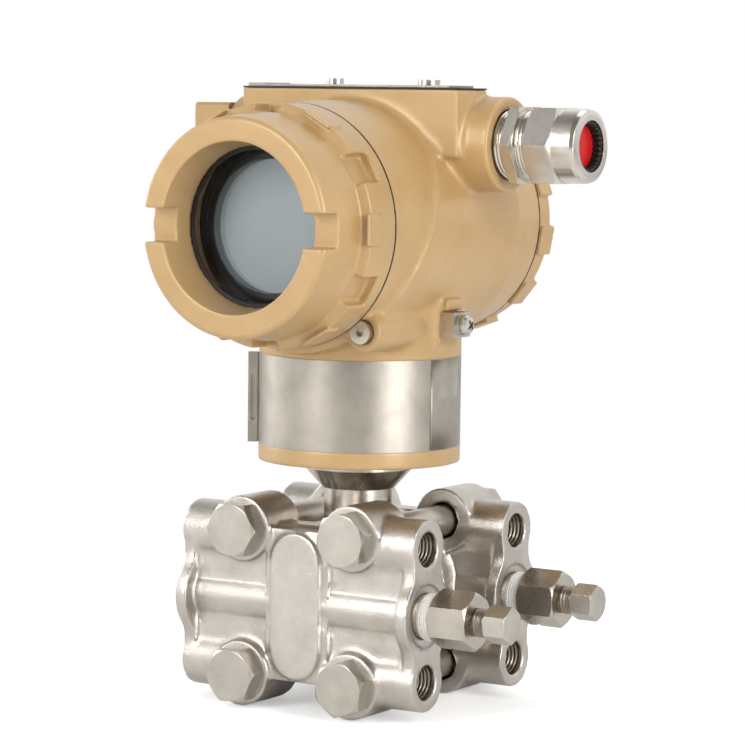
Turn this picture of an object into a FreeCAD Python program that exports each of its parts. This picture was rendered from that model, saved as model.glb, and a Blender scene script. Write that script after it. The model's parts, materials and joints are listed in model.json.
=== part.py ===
"""Differential pressure transmitter: dual-compartment housing on a flanged sensor capsule.

Millimetres, +Z up.  The origin is the middle of the process interface, the plane of
the two flange ends that carry the process ports (-X).  The vent ends face +X, the
flange bolts run along Y, and the window cover faces -Y.
"""
import FreeCAD, Part
import math
import os

import Sketcher

V = FreeCAD.Vector
doc = FreeCAD.newDocument("PressureTransmitter")

# ----------------------------------------------------------------------------
# Driving dimensions (millimetres, degrees where the name says so)
# ----------------------------------------------------------------------------
SIZES = {
    # process flanges
    "flange_length": 86.0, "port_pitch": 54.0, "hole_pitch": 41.3,
    "hole_dia": 11.1, "vent_end_hole_dia": 10.7, "hole_depth": 15.0, "hole_lip": 0.4,
    "lobe_dia": 18.4, "port_lobe_dia": 26.6, "lobe_blend": 9.0,
    "plate_thick": 4.0, "lobe_length": 20.0,
    "port_dia": 13.8, "port_depth": 14.5, "port_recess_dia": 19.6, "port_recess": 1.2,
    "duct_dia": 6.0, "web_height": 50.0, "web_half": 6.6, "web_edge": 2.0, "seat_dia": 49.6,
    "band_width": 23.0, "band_rise": 1.6,
    "ridge_rise": 1.9, "pad_width": 18.0, "pad_height": 46.0, "boss_face": 9.6,
    "boss_dia": 20.6, "boss_setback": 5.0, "chamber_dia": 34.0, "chamber_depth": 1.6,
    # capsule and neck of the sensor
    "capsule_dia": 49.0, "capsule_width": 26.0, "capsule_edge": 1.2,
    "stem_dia": 22.0, "cone_z": 34.3, "cone_foot_dia": 23.2, "shoulder_dia": 34.8,
    "spigot_dia": 30.0, "spigot_height": 22.0, "wire_bore": 12.0,
    "oring_wire": 2.6, "diaphragm_dia": 30.0, "diaphragm_thick": 0.3,
    "gasket_dia": 40.0, "gasket_width": 2.8, "gasket_thick": 0.8,
    # flange bolts, M10
    "bolt_pitch_x": 40.8, "bolt_pitch_z": 46.0, "bolt_dia": 10.0, "bolt_hole": 10.4,
    "far_hole": 11.6, "hex_flats": 16.0, "head_height": 6.0, "nut_height": 8.0,
    "bolt_end": 2.4, "column_turn": 15.0, "row_turn": 5.0, "hex_bevel": 0.9,
    # vent valves
    "vent_neck_dia": 12.6, "vent_thread_out": 3.0, "vent_neck": 1.6,
    "vent_hex_flats": 16.0, "vent_hex_length": 13.2,
    "vent_stem_dia": 7.8, "vent_stem_gap": 4.6, "vent_cap_flats": 10.2,
    "vent_cap_length": 7.6, "vent_seat_dia": 3.0, "vent_ball_dia": 5.0,
    "vent_stem_depth": 13.0, "bleed_dia": 1.8,
    # housing casting
    "neck_foot_z": 43.15, "neck_dia": 64.4, "band_foot_z": 48.4, "band_height": 28.7,
    "band_thick": 0.6, "barrel_z": 118.85, "barrel_dia": 77.0, "front_rim_dia": 75.0,
    "rear_rim_dia": 73.8, "front_y": 39.4, "rear_y": 49.5, "taper_start": 33.0,
    "swell_dia": 79.4, "swell_rear": 32.5, "swell_y": 20.9, "swell_tilt": 23.5,
    "bore_dia": 62.0, "thread_length": 13.0, "thread_step": 2.0,
    "partition_y": 6.0, "partition_thick": 3.5,
    "neck_floor": 22.0, "neck_bore_dia": 46.0,
    "boss_y": 8.0, "boss_z": 25.25, "boss_reach": 49.3, "conduit_boss_dia": 29.6,
    "conduit_dia": 20.8, "conduit_lip": 1.0,
    "pad_length": 80.0, "pad_depth": 18.0, "pad_z": 42.05,
    "lock_radius": 40.4, "lock_angle": 52.0, "lock_boss_dia": 12.6, "lock_boss_length": 26.0,
    "lock_head_dia": 7.2, "lock_head": 3.4, "lock_dia": 4.0, "lock_length": 12.0,
    "lock_key": 2.5,
    "earth_x": 32.4, "earth_width": 13.0, "earth_z": 31.0, "earth_height": 15.0,
    "stop_width": 10.0, "stop_height": 3.6, "stop_rise": 3.0,
    # covers
    "cover_gap": 0.3, "window_reach": 32.1, "window_face_dia": 66.8, "window_root_dia": 69.4,
    "cover_rim": 13.2, "cover_rim_dia": 75.4, "rim_slope": 1.8, "bezel_flare": 1.5,
    "bezel_depth": 13.0, "cover_skirt": 11.0,
    "notch_width": 10.4, "notch_depth": 6.6, "pocket_width": 10.0, "pocket_depth": 3.3,
    "pocket_length": 10.0, "tab_width": 9.6, "tab_length": 7.4, "tab_rise": 0.5,
    "rear_reach": 15.0, "rear_root_dia": 68.0, "lug_count": 12, "lug_width": 9.4,
    "lug_rise": 1.7, "rear_rim": 8.0, "rear_turn": 10.0, "skirt_wall": 2.6,
    "glass_margin": 4.0, "glass_thick": 8.0, "glass_hold": 2.5, "seal_thick": 0.6,
    "seal_width": 3.7, "keeper_lip": 0.7, "keeper_width": 3.0, "keeper_thick": 3.6, "cover_oring": 1.8,
    # display and electronics
    "display_room": 6.5, "display_depth": 9.0, "display_gap": 1.6, "display_wall": 2.0,
    "lcd_thick": 1.2, "board_room": 3.0, "board_thick": 1.6, "board_y": 30.0,
    "post_dia": 5.0, "post_margin": 4.0, "block_room": 4.0, "block_depth": 12.0,
    "block_face": 9.0, "terminal_pitch": 11.0, "terminal_dia": 7.0,
    # cable gland
    "gland_dia": 20.6, "gland_in": 12.0, "gland_thread_out": 3.4, "gland_flange_flats": 23.6,
    "gland_flange": 3.9, "gland_male_dia": 20.8, "gland_ring": 3.6, "gland_nut_flats": 23.2,
    "gland_nut_hex": 9.6, "gland_nose_dia": 23.0, "gland_nose": 8.2, "gland_hole": 16.0,
    "gland_bore": 12.0, "seal_dia": 15.8, "seal_hole": 10.0,
    "gland_lip": 1.2, "gland_washer": 0.8, "plug_head_dia": 14.4, "plug_head": 1.4,
    "plug_recess": 2.2,
    # left conduit plug
    "stop_plug_flats": 23.8, "stop_plug_head": 13.2, "stop_plug_in": 12.0,
    # top plate, its screws and the two buttons under it
    "mat_thick": 0.5, "plate_sheet": 0.7, "plate_left": 39.0, "plate_right": 36.0,
    "plate_depth": 15.0, "plate_hem": 6.0, "pivot_x": 24.3, "pivot_head_dia": 7.0, "pivot_head": 1.6,
    "clamp_x": 10.7, "clamp_head_dia": 5.6, "clamp_head": 1.8, "screw_dia": 3.0,
    "top_screw_length": 7.0, "zero_x": 27.0, "span_x": 7.0, "button_dia": 6.0,
    "button_length": 6.0, "button_travel": 1.2,
    # earth terminal
    "clip_width": 10.0, "clip_height": 7.8, "clip_reach": 4.2, "clip_sheet": 1.0,
    "washer_dia": 6.8, "washer_thick": 0.9, "earth_head_dia": 6.4, "earth_head": 2.6,
    "earth_dia": 4.0, "earth_length": 9.0,
    # band lock
    "lock_tab_height": 3.4, "lock_tab_thick": 2.6, "lock_tab_angle": 213.0,
    # fits
    "running": 0.05, "snug": 0.05, "seat_gap": 0.3,
}

sheet = doc.addObject("Spreadsheet::Sheet", "Sizes")
for row, (alias, value) in enumerate(SIZES.items(), start=1):
    sheet.set("A%d" % row, alias)
    sheet.set("B%d" % row, str(value))
    sheet.setAlias("B%d" % row, alias)
doc.recompute()


class Dim:
    """A size that carries its number and the spreadsheet expression it comes from."""

    def __init__(self, text, value):
        self.text = text
        self.value = value

    def __add__(self, other):
        return Dim("(%s + %s)" % (self.text, text_of(other)), self.value + number(other))

    def __radd__(self, other):
        return Dim("(%s + %s)" % (text_of(other), self.text), number(other) + self.value)

    def __sub__(self, other):
        return Dim("(%s - %s)" % (self.text, text_of(other)), self.value - number(other))

    def __rsub__(self, other):
        return Dim("(%s - %s)" % (text_of(other), self.text), number(other) - self.value)

    def __mul__(self, other):
        return Dim("(%s * %s)" % (self.text, text_of(other)), self.value * number(other))

    __rmul__ = __mul__

    def __truediv__(self, other):
        return Dim("(%s / %s)" % (self.text, text_of(other)), self.value / number(other))

    def __neg__(self):
        return Dim("(0 - %s)" % self.text, -self.value)


def text_of(size):
    return size.text if isinstance(size, Dim) else repr(float(size))


def number(size):
    return size.value if isinstance(size, Dim) else float(size)


def cosine(size):
    return Dim("cos(%s * 1 deg)" % text_of(size), math.cos(math.radians(number(size))))


def sine(size):
    return Dim("sin(%s * 1 deg)" % text_of(size), math.sin(math.radians(number(size))))


class Table:
    """Reads the spreadsheet's cells by alias, as Dim values."""

    def __getattr__(self, alias):
        return Dim("Sizes.%s" % alias, float(sheet.get(alias)))


s = Table()

# ----------------------------------------------------------------------------
# Building blocks
# ----------------------------------------------------------------------------
TO_X = FreeCAD.Rotation(V(0, 1, 0), 90)
TO_Y = FreeCAD.Rotation(V(1, 0, 0), -90)
TO_FRONT = FreeCAD.Rotation(V(1, 0, 0), 90)
UPRIGHT = FreeCAD.Rotation()
NODES = []


def bind(obj, prop, size):
    """Set a property to a size, through the spreadsheet where the size comes from it."""
    if isinstance(size, Dim):
        obj.setExpression(prop, size.text)
    else:
        setattr(obj, prop, size)


def place(obj, x=0.0, y=0.0, z=0.0, rotation=UPRIGHT):
    obj.Placement = FreeCAD.Placement(V(number(x), number(y), number(z)), rotation)
    for letter, size in zip("xyz", (x, y, z)):
        if isinstance(size, Dim):
            obj.setExpression(".Placement.Base.%s" % letter, size.text)
    return obj


def node(obj, name, x=0.0, y=0.0, z=0.0, rotation=UPRIGHT):
    """Name a finished sub-part and put it in its place in the assembly."""
    obj.Label = name
    place(obj, x, y, z, rotation)
    NODES.append(obj)
    return obj


def cylinder(dia, length, x=0.0, y=0.0, z=0.0, rotation=UPRIGHT):
    obj = doc.addObject("Part::Cylinder", "Cylinder")
    bind(obj, "Radius", dia / 2)
    bind(obj, "Height", length)
    return place(obj, x, y, z, rotation)


def cone(dia, top_dia, length, x=0.0, y=0.0, z=0.0, rotation=UPRIGHT):
    obj = doc.addObject("Part::Cone", "Cone")
    bind(obj, "Radius1", dia / 2)
    bind(obj, "Radius2", top_dia / 2)
    bind(obj, "Height", length)
    return place(obj, x, y, z, rotation)


def ball(dia, x=0.0, y=0.0, z=0.0):
    obj = doc.addObject("Part::Sphere", "Ball")
    bind(obj, "Radius", dia / 2)
    return place(obj, x, y, z)


def block(length, depth, height, x=0.0, y=0.0, z=0.0, rotation=UPRIGHT):
    """Box centred on x and y, standing on z."""
    obj = doc.addObject("Part::Box", "Block")
    bind(obj, "Length", length)
    bind(obj, "Width", depth)
    bind(obj, "Height", height)
    return place(obj, x - length / 2, y - depth / 2, z, rotation)


def prism(flats, length, x=0.0, y=0.0, z=0.0, rotation=UPRIGHT):
    """Hexagonal bar, by its width across flats."""
    obj = doc.addObject("Part::Prism", "Hexagon")
    obj.Polygon = 6
    bind(obj, "Circumradius", flats / math.sqrt(3))
    bind(obj, "Height", length)
    return place(obj, x, y, z, rotation)


def fuse(*pieces):
    obj = doc.addObject("Part::MultiFuse", "Fusion")
    obj.Shapes = list(pieces)
    obj.Refine = True
    return obj


def group(*pieces):
    """Separate solids kept together under one name."""
    obj = doc.addObject("Part::Compound", "Group")
    obj.Links = list(pieces)
    return obj


def cut(base, *tools):
    obj = doc.addObject("Part::Cut", "Cut")
    obj.Base = base
    obj.Tool = tools[0] if len(tools) == 1 else fuse(*tools)
    obj.Refine = True
    return obj


def common(first, second):
    obj = doc.addObject("Part::Common", "Common")
    obj.Base = first
    obj.Tool = second
    return obj


def origin_plane(body, role):
    for feature in body.Origin.OriginFeatures:
        if feature.Role == role:
            return feature
    raise RuntimeError("no plane " + role)


def new_sketch(body, role, name, offset=None):
    sketch = body.newObject("Sketcher::SketchObject", name)
    sketch.AttachmentSupport = (origin_plane(body, role), [""])
    sketch.MapMode = "FlatFace"
    if offset is not None:
        sketch.AttachmentOffset = FreeCAD.Placement(V(0, 0, number(offset)), UPRIGHT)
        if isinstance(offset, Dim):
            sketch.setExpression(".AttachmentOffset.Base.z", offset.text)
    return sketch


def pin_point(sketch, geometry, end, across, up):
    """Hold a point of a sketch at its two distances from the sketch's origin."""
    for kind, size, axis in (("DistanceX", across, -2), ("DistanceY", up, -1)):
        if not isinstance(size, Dim) and float(size) == 0.0:
            sketch.addConstraint(Sketcher.Constraint("PointOnObject", geometry, end, axis))
            continue
        rule = Sketcher.Constraint(kind, -1, 1, geometry, end, number(size))
        index = sketch.addConstraint(rule)
        if isinstance(size, Dim):
            sketch.setExpression("Constraints[%d]" % index, size.text)


def outline(sketch, points):
    """Closed outline of straight lines through points given as pairs of sizes."""
    count = len(points)
    corners = [V(number(a), number(b), 0) for a, b in points]
    lines = [Part.LineSegment(corners[i], corners[(i + 1) % count]) for i in range(count)]
    sketch.addGeometry(lines, False)
    joins = [Sketcher.Constraint("Coincident", i, 2, (i + 1) % count, 1) for i in range(count)]
    sketch.addConstraint(joins)
    for i, (across, up) in enumerate(points):
        pin_point(sketch, i, 1, across, up)


def turned(name, points, role="YZ_Plane", axis="H_Axis"):
    """Body of revolution from an outline of (along the axis, radius) pairs."""
    body = doc.addObject("PartDesign::Body", name)
    sketch = new_sketch(body, role, name + "_profile")
    if axis == "V_Axis":
        points = [(radius, along) for along, radius in points]
    outline(sketch, points)
    turn = body.newObject("PartDesign::Revolution", name + "_turn")
    turn.Profile = sketch
    turn.ReferenceAxis = (sketch, [axis])
    turn.Angle = 360
    sketch.Visibility = False
    return body


def turned_x(name, points):
    return turned(name, points, "XZ_Plane", "H_Axis")


def turned_y(name, points):
    return turned(name, points, "YZ_Plane", "H_Axis")


def turned_z(name, points):
    return turned(name, points, "XZ_Plane", "V_Axis")


def seal_ring(turn, name, dia, wire, along=0.0):
    """Round seal drawn with an eight-sided section: dia is across the middle of its wire."""
    half, side = wire / 2, wire / 2 * math.tan(math.pi / 8)
    section = [(-half, -side), (-half, side), (-side, half), (side, half),
               (half, side), (half, -side), (side, -half), (-side, -half)]
    return turn(name, [(along + a, dia / 2 + b) for a, b in section])


def hex_bar(flats, length, bevel, x=0.0, both=False, turn=0.0):
    """Hexagon along +X with its corners turned off at the outer end, or at both ends."""
    bar = prism(flats, length, x=x, rotation=TO_X.multiply(FreeCAD.Rotation(V(0, 0, 1), turn)))
    across = 2 * flats / math.sqrt(3)
    foot = across / 2 if not both else flats / 2
    turn = turned_x("Bevel", [
        (x, 0.0), (x, foot), (x + bevel, across / 2),
        (x + length - bevel, across / 2), (x + length, flats / 2), (x + length, 0.0)])
    return common(bar, turn)


# ----------------------------------------------------------------------------
# Places shared by several sub-parts
# ----------------------------------------------------------------------------
neck_x = s.flange_length / 2
half_pitch = s.port_pitch / 2
inner_face = s.capsule_width / 2
seat_y = half_pitch - inner_face
boss_x = s.bolt_pitch_x / 2
boss_z = s.bolt_pitch_z / 2
hole_z = s.hole_pitch / 2
bolt_seat = half_pitch + s.boss_face
barrel = (neck_x, 0.0, s.barrel_z)
front_face = -s.front_y
rim_face = front_face - s.cover_gap
window_face = rim_face - s.window_reach
seal_front = window_face + s.bezel_depth
glass_front = seal_front + s.seal_thick
glass_back = glass_front + s.glass_thick
rear_rim_face = s.rear_y + s.cover_gap
partition_rear = s.partition_thick - s.partition_y
skirt_dia = s.bore_dia - 2 * s.running
inner_dia = s.bore_dia - 2 * s.thread_step
glass_dia = s.bore_dia - 2 * s.glass_margin
keeper_dia = glass_dia + 2 * s.keeper_lip
display_dia = inner_dia - 2 * s.display_room
board_dia = inner_dia - 2 * s.board_room
block_dia = inner_dia - 2 * s.block_room
oring_room = s.cover_oring + 2 * s.snug
oring_root = skirt_dia / 2 - s.cover_oring - 2 * s.running


# ----------------------------------------------------------------------------
# Process flanges
# ----------------------------------------------------------------------------
def lobed_end(body, name):
    """Three-lobed end plate: two bolting lobes and a wider port lobe, blended by coves."""
    sketch = new_sketch(body, "YZ_Plane", name, neck_x - s.plate_thick)
    small, large, cove = s.lobe_dia / 2, s.port_lobe_dia / 2, s.lobe_blend
    rise = number(hole_z)
    to_small = number(small) + number(cove)
    to_large = number(large) + number(cove)
    up = (rise ** 2 + to_large ** 2 - to_small ** 2) / (2 * rise)
    across = math.sqrt(to_large ** 2 - up ** 2)
    at_small = math.atan2(up - rise, across)
    at_large = math.atan2(up, across)
    half = math.pi

    def arc(x, z, radius, start, end):
        base = Part.Circle(V(x, z, 0), V(0, 0, 1), number(radius))
        return sketch.addGeometry(Part.ArcOfCircle(base, start, end), False)

    top = arc(0, rise, small, at_small, half - at_small)
    left_top = arc(-across, up, cove, -at_large, -at_small)
    left = arc(0, 0, large, half - at_large, half + at_large)
    left_low = arc(-across, -up, cove, at_small, at_large)
    low = arc(0, -rise, small, half + at_small, 2 * half - at_small)
    right_low = arc(across, -up, cove, half - at_large, half - at_small)
    right = arc(0, 0, large, -at_large, at_large)
    right_top = arc(across, up, cove, half + at_small, half + at_large)
    joins = [(top, 2, left_top, 2), (left_top, 1, left, 1), (left, 2, left_low, 2),
             (left_low, 1, low, 1), (low, 2, right_low, 2), (right_low, 1, right, 1),
             (right, 2, right_top, 2), (right_top, 1, top, 1)]
    for first, end, second, start in joins:
        sketch.addConstraint(Sketcher.Constraint("Tangent", first, end, second, start))
    for index, radius in ((top, small), (left, large), (low, small), (right, large),
                          (left_top, cove), (left_low, cove), (right_low, cove),
                          (right_top, cove)):
        rule = sketch.addConstraint(Sketcher.Constraint("Radius", index, number(radius)))
        sketch.setExpression("Constraints[%d]" % rule, text_of(radius))
    pin_point(sketch, top, 3, 0.0, hole_z)
    pin_point(sketch, low, 3, 0.0, -hole_z)
    pin_point(sketch, left, 3, 0.0, 0.0)
    pin_point(sketch, right, 3, 0.0, 0.0)
    return sketch


def flange_blank(name):
    """Cast outline of one flange about its port axis; its bolted face looks to +Y."""
    body = doc.addObject("PartDesign::Body", name)
    sketch = lobed_end(body, name + "_end")
    plate = body.newObject("PartDesign::Pad", name + "_plate")
    plate.Profile = sketch
    bind(plate, "Length", s.plate_thick)
    doc.recompute()
    mirror = body.newObject("PartDesign::Mirrored", name + "_plates")
    mirror.Originals = [plate]
    mirror.MirrorPlane = (origin_plane(body, "YZ_Plane"), [""])
    body.Tip = mirror
    web = doc.addObject("PartDesign::Body", name + "_web")
    profile = new_sketch(web, "YZ_Plane", name + "_section", -(neck_x - s.plate_thick / 2))
    half, face, edge, back = s.web_height / 2, -s.web_half, s.web_edge, s.web_half
    outline(profile, [
        (back - edge, -half), (back, edge - half), (back, half - edge), (back - edge, half),
        (face + 2 * edge, half), (face, half - edge), (face, edge - half),
        (face + 2 * edge, -half)])
    bar = web.newObject("PartDesign::Pad", name + "_bar")
    bar.Profile = profile
    bind(bar, "Length", s.flange_length - s.plate_thick)
    boss_front = -s.boss_face
    boss_length = seat_y + s.boss_face - s.boss_setback
    pieces = [body, web, cylinder(s.seat_dia, seat_y - back + edge, 0.0, back - edge, 0.0, TO_Y)]
    pieces.append(block(s.band_width, s.band_rise + s.web_edge, s.web_height - s.web_edge, 0.0,
                        face - s.band_rise / 2 + s.web_edge / 2,
                        (s.web_edge - s.web_height) / 2))
    for x in (-boss_x, boss_x):
        for z in (-boss_z, boss_z):
            pieces.append(cylinder(s.boss_dia, boss_length, x, boss_front, z, TO_Y))
    for z in (-hole_z, hole_z):
        pieces.append(cylinder(s.lobe_dia, s.lobe_length, -neck_x, 0.0, z, TO_X))
        pieces.append(cylinder(s.lobe_dia, s.lobe_length, neck_x - s.lobe_length, 0.0, z, TO_X))
    ridge_dia = 2 * (s.web_half + s.ridge_rise)
    pieces.append(cylinder(ridge_dia, s.flange_length - s.plate_thick,
                           s.plate_thick / 2 - neck_x, 0.0, 0.0, TO_X))
    pad_rise = s.boss_face - s.web_half + s.web_edge
    end_z = (s.pad_height - s.pad_width) / 2
    pieces.append(block(s.pad_width, pad_rise, s.pad_height - s.pad_width,
                        0.0, boss_front + pad_rise / 2, -end_z))
    for z in (-end_z, end_z):
        pieces.append(cylinder(s.pad_width, pad_rise, 0.0, boss_front, z, TO_Y))
    return fuse(*pieces)


def flange_cuts(hole, process_end_hole, vent_end_hole):
    """Bolt holes, ports with their recesses, mounting holes, chamber and ducts."""
    cuts = []
    depth = seat_y + s.boss_face + s.web_edge
    for x in (-boss_x, boss_x):
        for z in (-boss_z, boss_z):
            cuts.append(cylinder(hole, depth, x, -s.boss_face - s.web_edge / 2, z, TO_Y))
    for z in (-hole_z, hole_z):
        left, right = process_end_hole, vent_end_hole
        lip = 2 * s.hole_lip
        cuts.append(cylinder(left, s.hole_depth, -neck_x, 0.0, z, TO_X))
        cuts.append(cylinder(right, s.hole_depth, neck_x - s.hole_depth, 0.0, z, TO_X))
        cuts.append(cone(left + lip, left, s.hole_lip, -neck_x, 0.0, z, TO_X))
        cuts.append(cone(right, right + lip, s.hole_lip, neck_x - s.hole_lip, 0.0, z, TO_X))
    deep = s.port_depth
    cuts.append(cylinder(s.port_dia, deep, -neck_x, 0.0, 0.0, TO_X))
    cuts.append(cylinder(s.port_dia, deep, neck_x - deep, 0.0, 0.0, TO_X))
    cuts.append(cylinder(s.port_recess_dia, s.port_recess, -neck_x, 0.0, 0.0, TO_X))
    cuts.append(cylinder(s.port_recess_dia, s.port_recess, neck_x - s.port_recess,
                         0.0, 0.0, TO_X))
    cuts.append(cylinder(s.duct_dia, s.flange_length - 2 * deep + s.duct_dia,
                         deep - neck_x - s.duct_dia / 2, 0.0, 0.0, TO_X))
    cuts.append(cylinder(s.duct_dia, seat_y, 0.0, 0.0, 0.0, TO_Y))
    cuts.append(cylinder(s.chamber_dia, s.chamber_depth, 0.0, seat_y - s.chamber_depth,
                         0.0, TO_Y))
    return cuts


def process_flanges():
    process_end, vent_end = s.hole_dia, s.vent_end_hole_dia
    high = cut(flange_blank("HighFlange"), *flange_cuts(s.bolt_hole, process_end, vent_end))
    node(high, "process_flange_high", neck_x, -half_pitch, 0.0)
    low = cut(flange_blank("LowFlange"), *flange_cuts(s.far_hole, vent_end, process_end))
    node(low, "process_flange_low", neck_x, half_pitch, 0.0, FreeCAD.Rotation(V(0, 0, 1), 180))


# ----------------------------------------------------------------------------
# Sensor: capsule between the flanges, neck, cone and spigot
# ----------------------------------------------------------------------------
def sensor():
    edge, half = s.capsule_edge, inner_face
    radius, groove = s.capsule_dia / 2, s.gasket_dia / 2
    inner = groove - s.gasket_width
    recess = s.diaphragm_dia / 2
    dish = 2 * s.diaphragm_thick
    side = [(half - dish, 0.0), (half - dish, recess), (half, recess), (half, inner),
            (half - s.gasket_thick, inner), (half - s.gasket_thick, groove),
            (half, groove), (half, radius - edge), (half - edge, radius)]
    capsule = turned_y("Capsule", side + [(-along, out) for along, out in reversed(side)])
    stem, spigot = s.stem_dia / 2, s.spigot_dia / 2
    shoulder_z = s.neck_foot_z - s.running
    groove_z = shoulder_z + s.spigot_height / 3
    groove_in = spigot - s.oring_wire + s.running * 4
    neck = turned_z("Neck", [
        (0.0, 0.0), (0.0, stem), (s.cone_z, stem), (s.cone_z, s.cone_foot_dia / 2),
        (shoulder_z - 2 * edge, s.shoulder_dia / 2), (shoulder_z, s.shoulder_dia / 2),
        (shoulder_z, spigot), (groove_z, spigot), (groove_z, groove_in),
        (groove_z + s.oring_wire, groove_in), (groove_z + s.oring_wire, spigot),
        (shoulder_z + s.spigot_height, spigot),
        (shoulder_z + s.spigot_height, s.wire_bore / 2), (s.cone_z, s.wire_bore / 2),
        (s.cone_z, 0.0)])
    node(fuse(capsule, neck), "sensor_body", neck_x, 0.0, 0.0)
    wire = s.oring_wire - 6 * s.running
    oring = seal_ring(turned_z, "NeckOring", 2 * groove_in + wire + 2 * s.running, wire)
    node(oring, "neck_oring", neck_x, 0.0, groove_z + s.oring_wire / 2)
    for name, sign in (("high", -1.0), ("low", 1.0)):
        seal = turned_y("Gasket_" + name, [
            (0.0, inner + s.running), (0.0, groove - s.running),
            (s.gasket_thick, groove - s.running), (s.gasket_thick, inner + s.running)])
        foot = half - s.gasket_thick if sign > 0 else -half
        node(seal, "process_gasket_" + name, neck_x, foot, 0.0)
        foil = cylinder(s.diaphragm_dia - 4 * s.running, s.diaphragm_thick)
        start = half - dish if sign > 0 else dish - half - s.diaphragm_thick
        node(foil, "isolating_diaphragm_" + name, neck_x, start, 0.0, TO_Y)


def flange_bolting():
    """Four hexagon bolts through both flanges, with nuts on the low side."""
    bolts, nuts = [], []
    grip = 2 * bolt_seat
    for column, x in enumerate((-boss_x, boss_x)):
        for row, z in enumerate((boss_z, -boss_z)):
            turn = -column * number(s.column_turn) - row * number(s.row_turn)
            head = prism(s.hex_flats, s.head_height, x, -bolt_seat - s.head_height, z,
                         TO_Y.multiply(FreeCAD.Rotation(V(0, 0, 1), turn)))
            crown = turned_y("HeadBevel", [
                (-bolt_seat - s.head_height, 0.0),
                (-bolt_seat - s.head_height, s.hex_flats / 2),
                (s.hex_bevel - bolt_seat - s.head_height, s.hex_flats / math.sqrt(3)),
                (-bolt_seat, s.hex_flats / math.sqrt(3)), (-bolt_seat, 0.0)])
            place(crown, x, 0.0, z)
            shank = cylinder(s.bolt_dia, grip + s.nut_height + s.bolt_end + s.head_height / 2,
                             x, -bolt_seat - s.head_height / 2, z, TO_Y)
            bolts.append(fuse(common(head, crown), shank))
            body = prism(s.hex_flats, s.nut_height, x, bolt_seat, z, TO_Y)
            ends = turned_y("NutBevel", [
                (bolt_seat, 0.0), (bolt_seat, s.hex_flats / 2),
                (bolt_seat + s.hex_bevel, s.hex_flats / math.sqrt(3)),
                (bolt_seat + s.nut_height - s.hex_bevel, s.hex_flats / math.sqrt(3)),
                (bolt_seat + s.nut_height, s.hex_flats / 2), (bolt_seat + s.nut_height, 0.0)])
            place(ends, x, 0.0, z)
            hole = cylinder(s.bolt_dia + 2 * s.snug, s.nut_height + 2 * s.bolt_end,
                            x, bolt_seat - s.bolt_end, z, TO_Y)
            nuts.append(cut(common(body, ends), hole))
    node(group(*bolts), "flange_bolts", neck_x)
    node(group(*nuts), "flange_nuts", neck_x)


# ----------------------------------------------------------------------------
# Vent valves in the +X ports
# ----------------------------------------------------------------------------
def vent_valves():
    out = s.vent_thread_out
    hex_start = out + s.vent_neck
    hex_end = hex_start + s.vent_hex_length
    thread = s.port_dia / 2 - s.snug
    tail = s.port_depth - 2 * s.snug
    stem_bore = s.vent_stem_dia / 2 + s.running
    bore_end = hex_end - s.vent_stem_depth
    tip_gap = s.seat_gap
    for name, side in (("high", -1.0), ("low", 1.0)):
        barrel_turn = turned_x("VentTurn", [
            (-tail, 0.0), (-tail, thread - s.vent_neck), (s.vent_neck - tail, thread),
            (out, thread), (out, s.vent_neck_dia / 2), (hex_start + s.vent_neck,
            s.vent_neck_dia / 2), (hex_start + s.vent_neck, 0.0)])
        bar = hex_bar(s.vent_hex_flats, s.vent_hex_length, s.hex_bevel, hex_start, True)
        bore = turned_x("VentBore", [
            (-tail - out, 0.0), (-tail - out, s.vent_seat_dia / 2),
            (bore_end - s.vent_ball_dia, s.vent_seat_dia / 2),
            (bore_end - s.vent_ball_dia / 2, s.vent_ball_dia / 2 + s.running * 2),
            (bore_end, stem_bore), (hex_end + out, stem_bore), (hex_end + out, 0.0)])
        bleed = cylinder(s.bleed_dia, s.vent_hex_flats, hex_start + s.vent_hex_length / 3,
                         0.0, -s.vent_hex_flats, UPRIGHT)
        body = cut(fuse(barrel_turn, bar), bore, bleed)
        port = (s.flange_length, side * half_pitch, 0.0)
        node(body, "vent_valve_body_" + name, *port)
        tip_x = bore_end - s.vent_ball_dia / 2
        node(ball(s.vent_ball_dia - 2 * tip_gap), "vent_tip_" + name,
             s.flange_length + tip_x + s.vent_ball_dia / 2, side * half_pitch, 0.0)
        stem_start = bore_end + s.vent_ball_dia / 2 + tip_gap
        cap_start = hex_end + s.vent_stem_gap
        stem = turned_x("StemTurn", [
            (stem_start, 0.0), (stem_start, s.vent_stem_dia / 2 - s.hex_bevel),
            (stem_start + s.hex_bevel, s.vent_stem_dia / 2),
            (cap_start + s.hex_bevel, s.vent_stem_dia / 2), (cap_start + s.hex_bevel, 0.0)])
        cap = hex_bar(s.vent_cap_flats, s.vent_cap_length, s.hex_bevel / 2, cap_start, True)
        node(fuse(stem, cap), "vent_stem_" + name, *port)


# ----------------------------------------------------------------------------
# Housing casting: barrel, neck, conduit bosses, top pad
# ----------------------------------------------------------------------------
def lock_place(rear=False):
    """Centre of a cover lock screw, seen along the barrel."""
    across = s.lock_radius * cosine(s.lock_angle)
    up = -(s.lock_radius * sine(s.lock_angle))
    return (-across if rear else across), up


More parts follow.
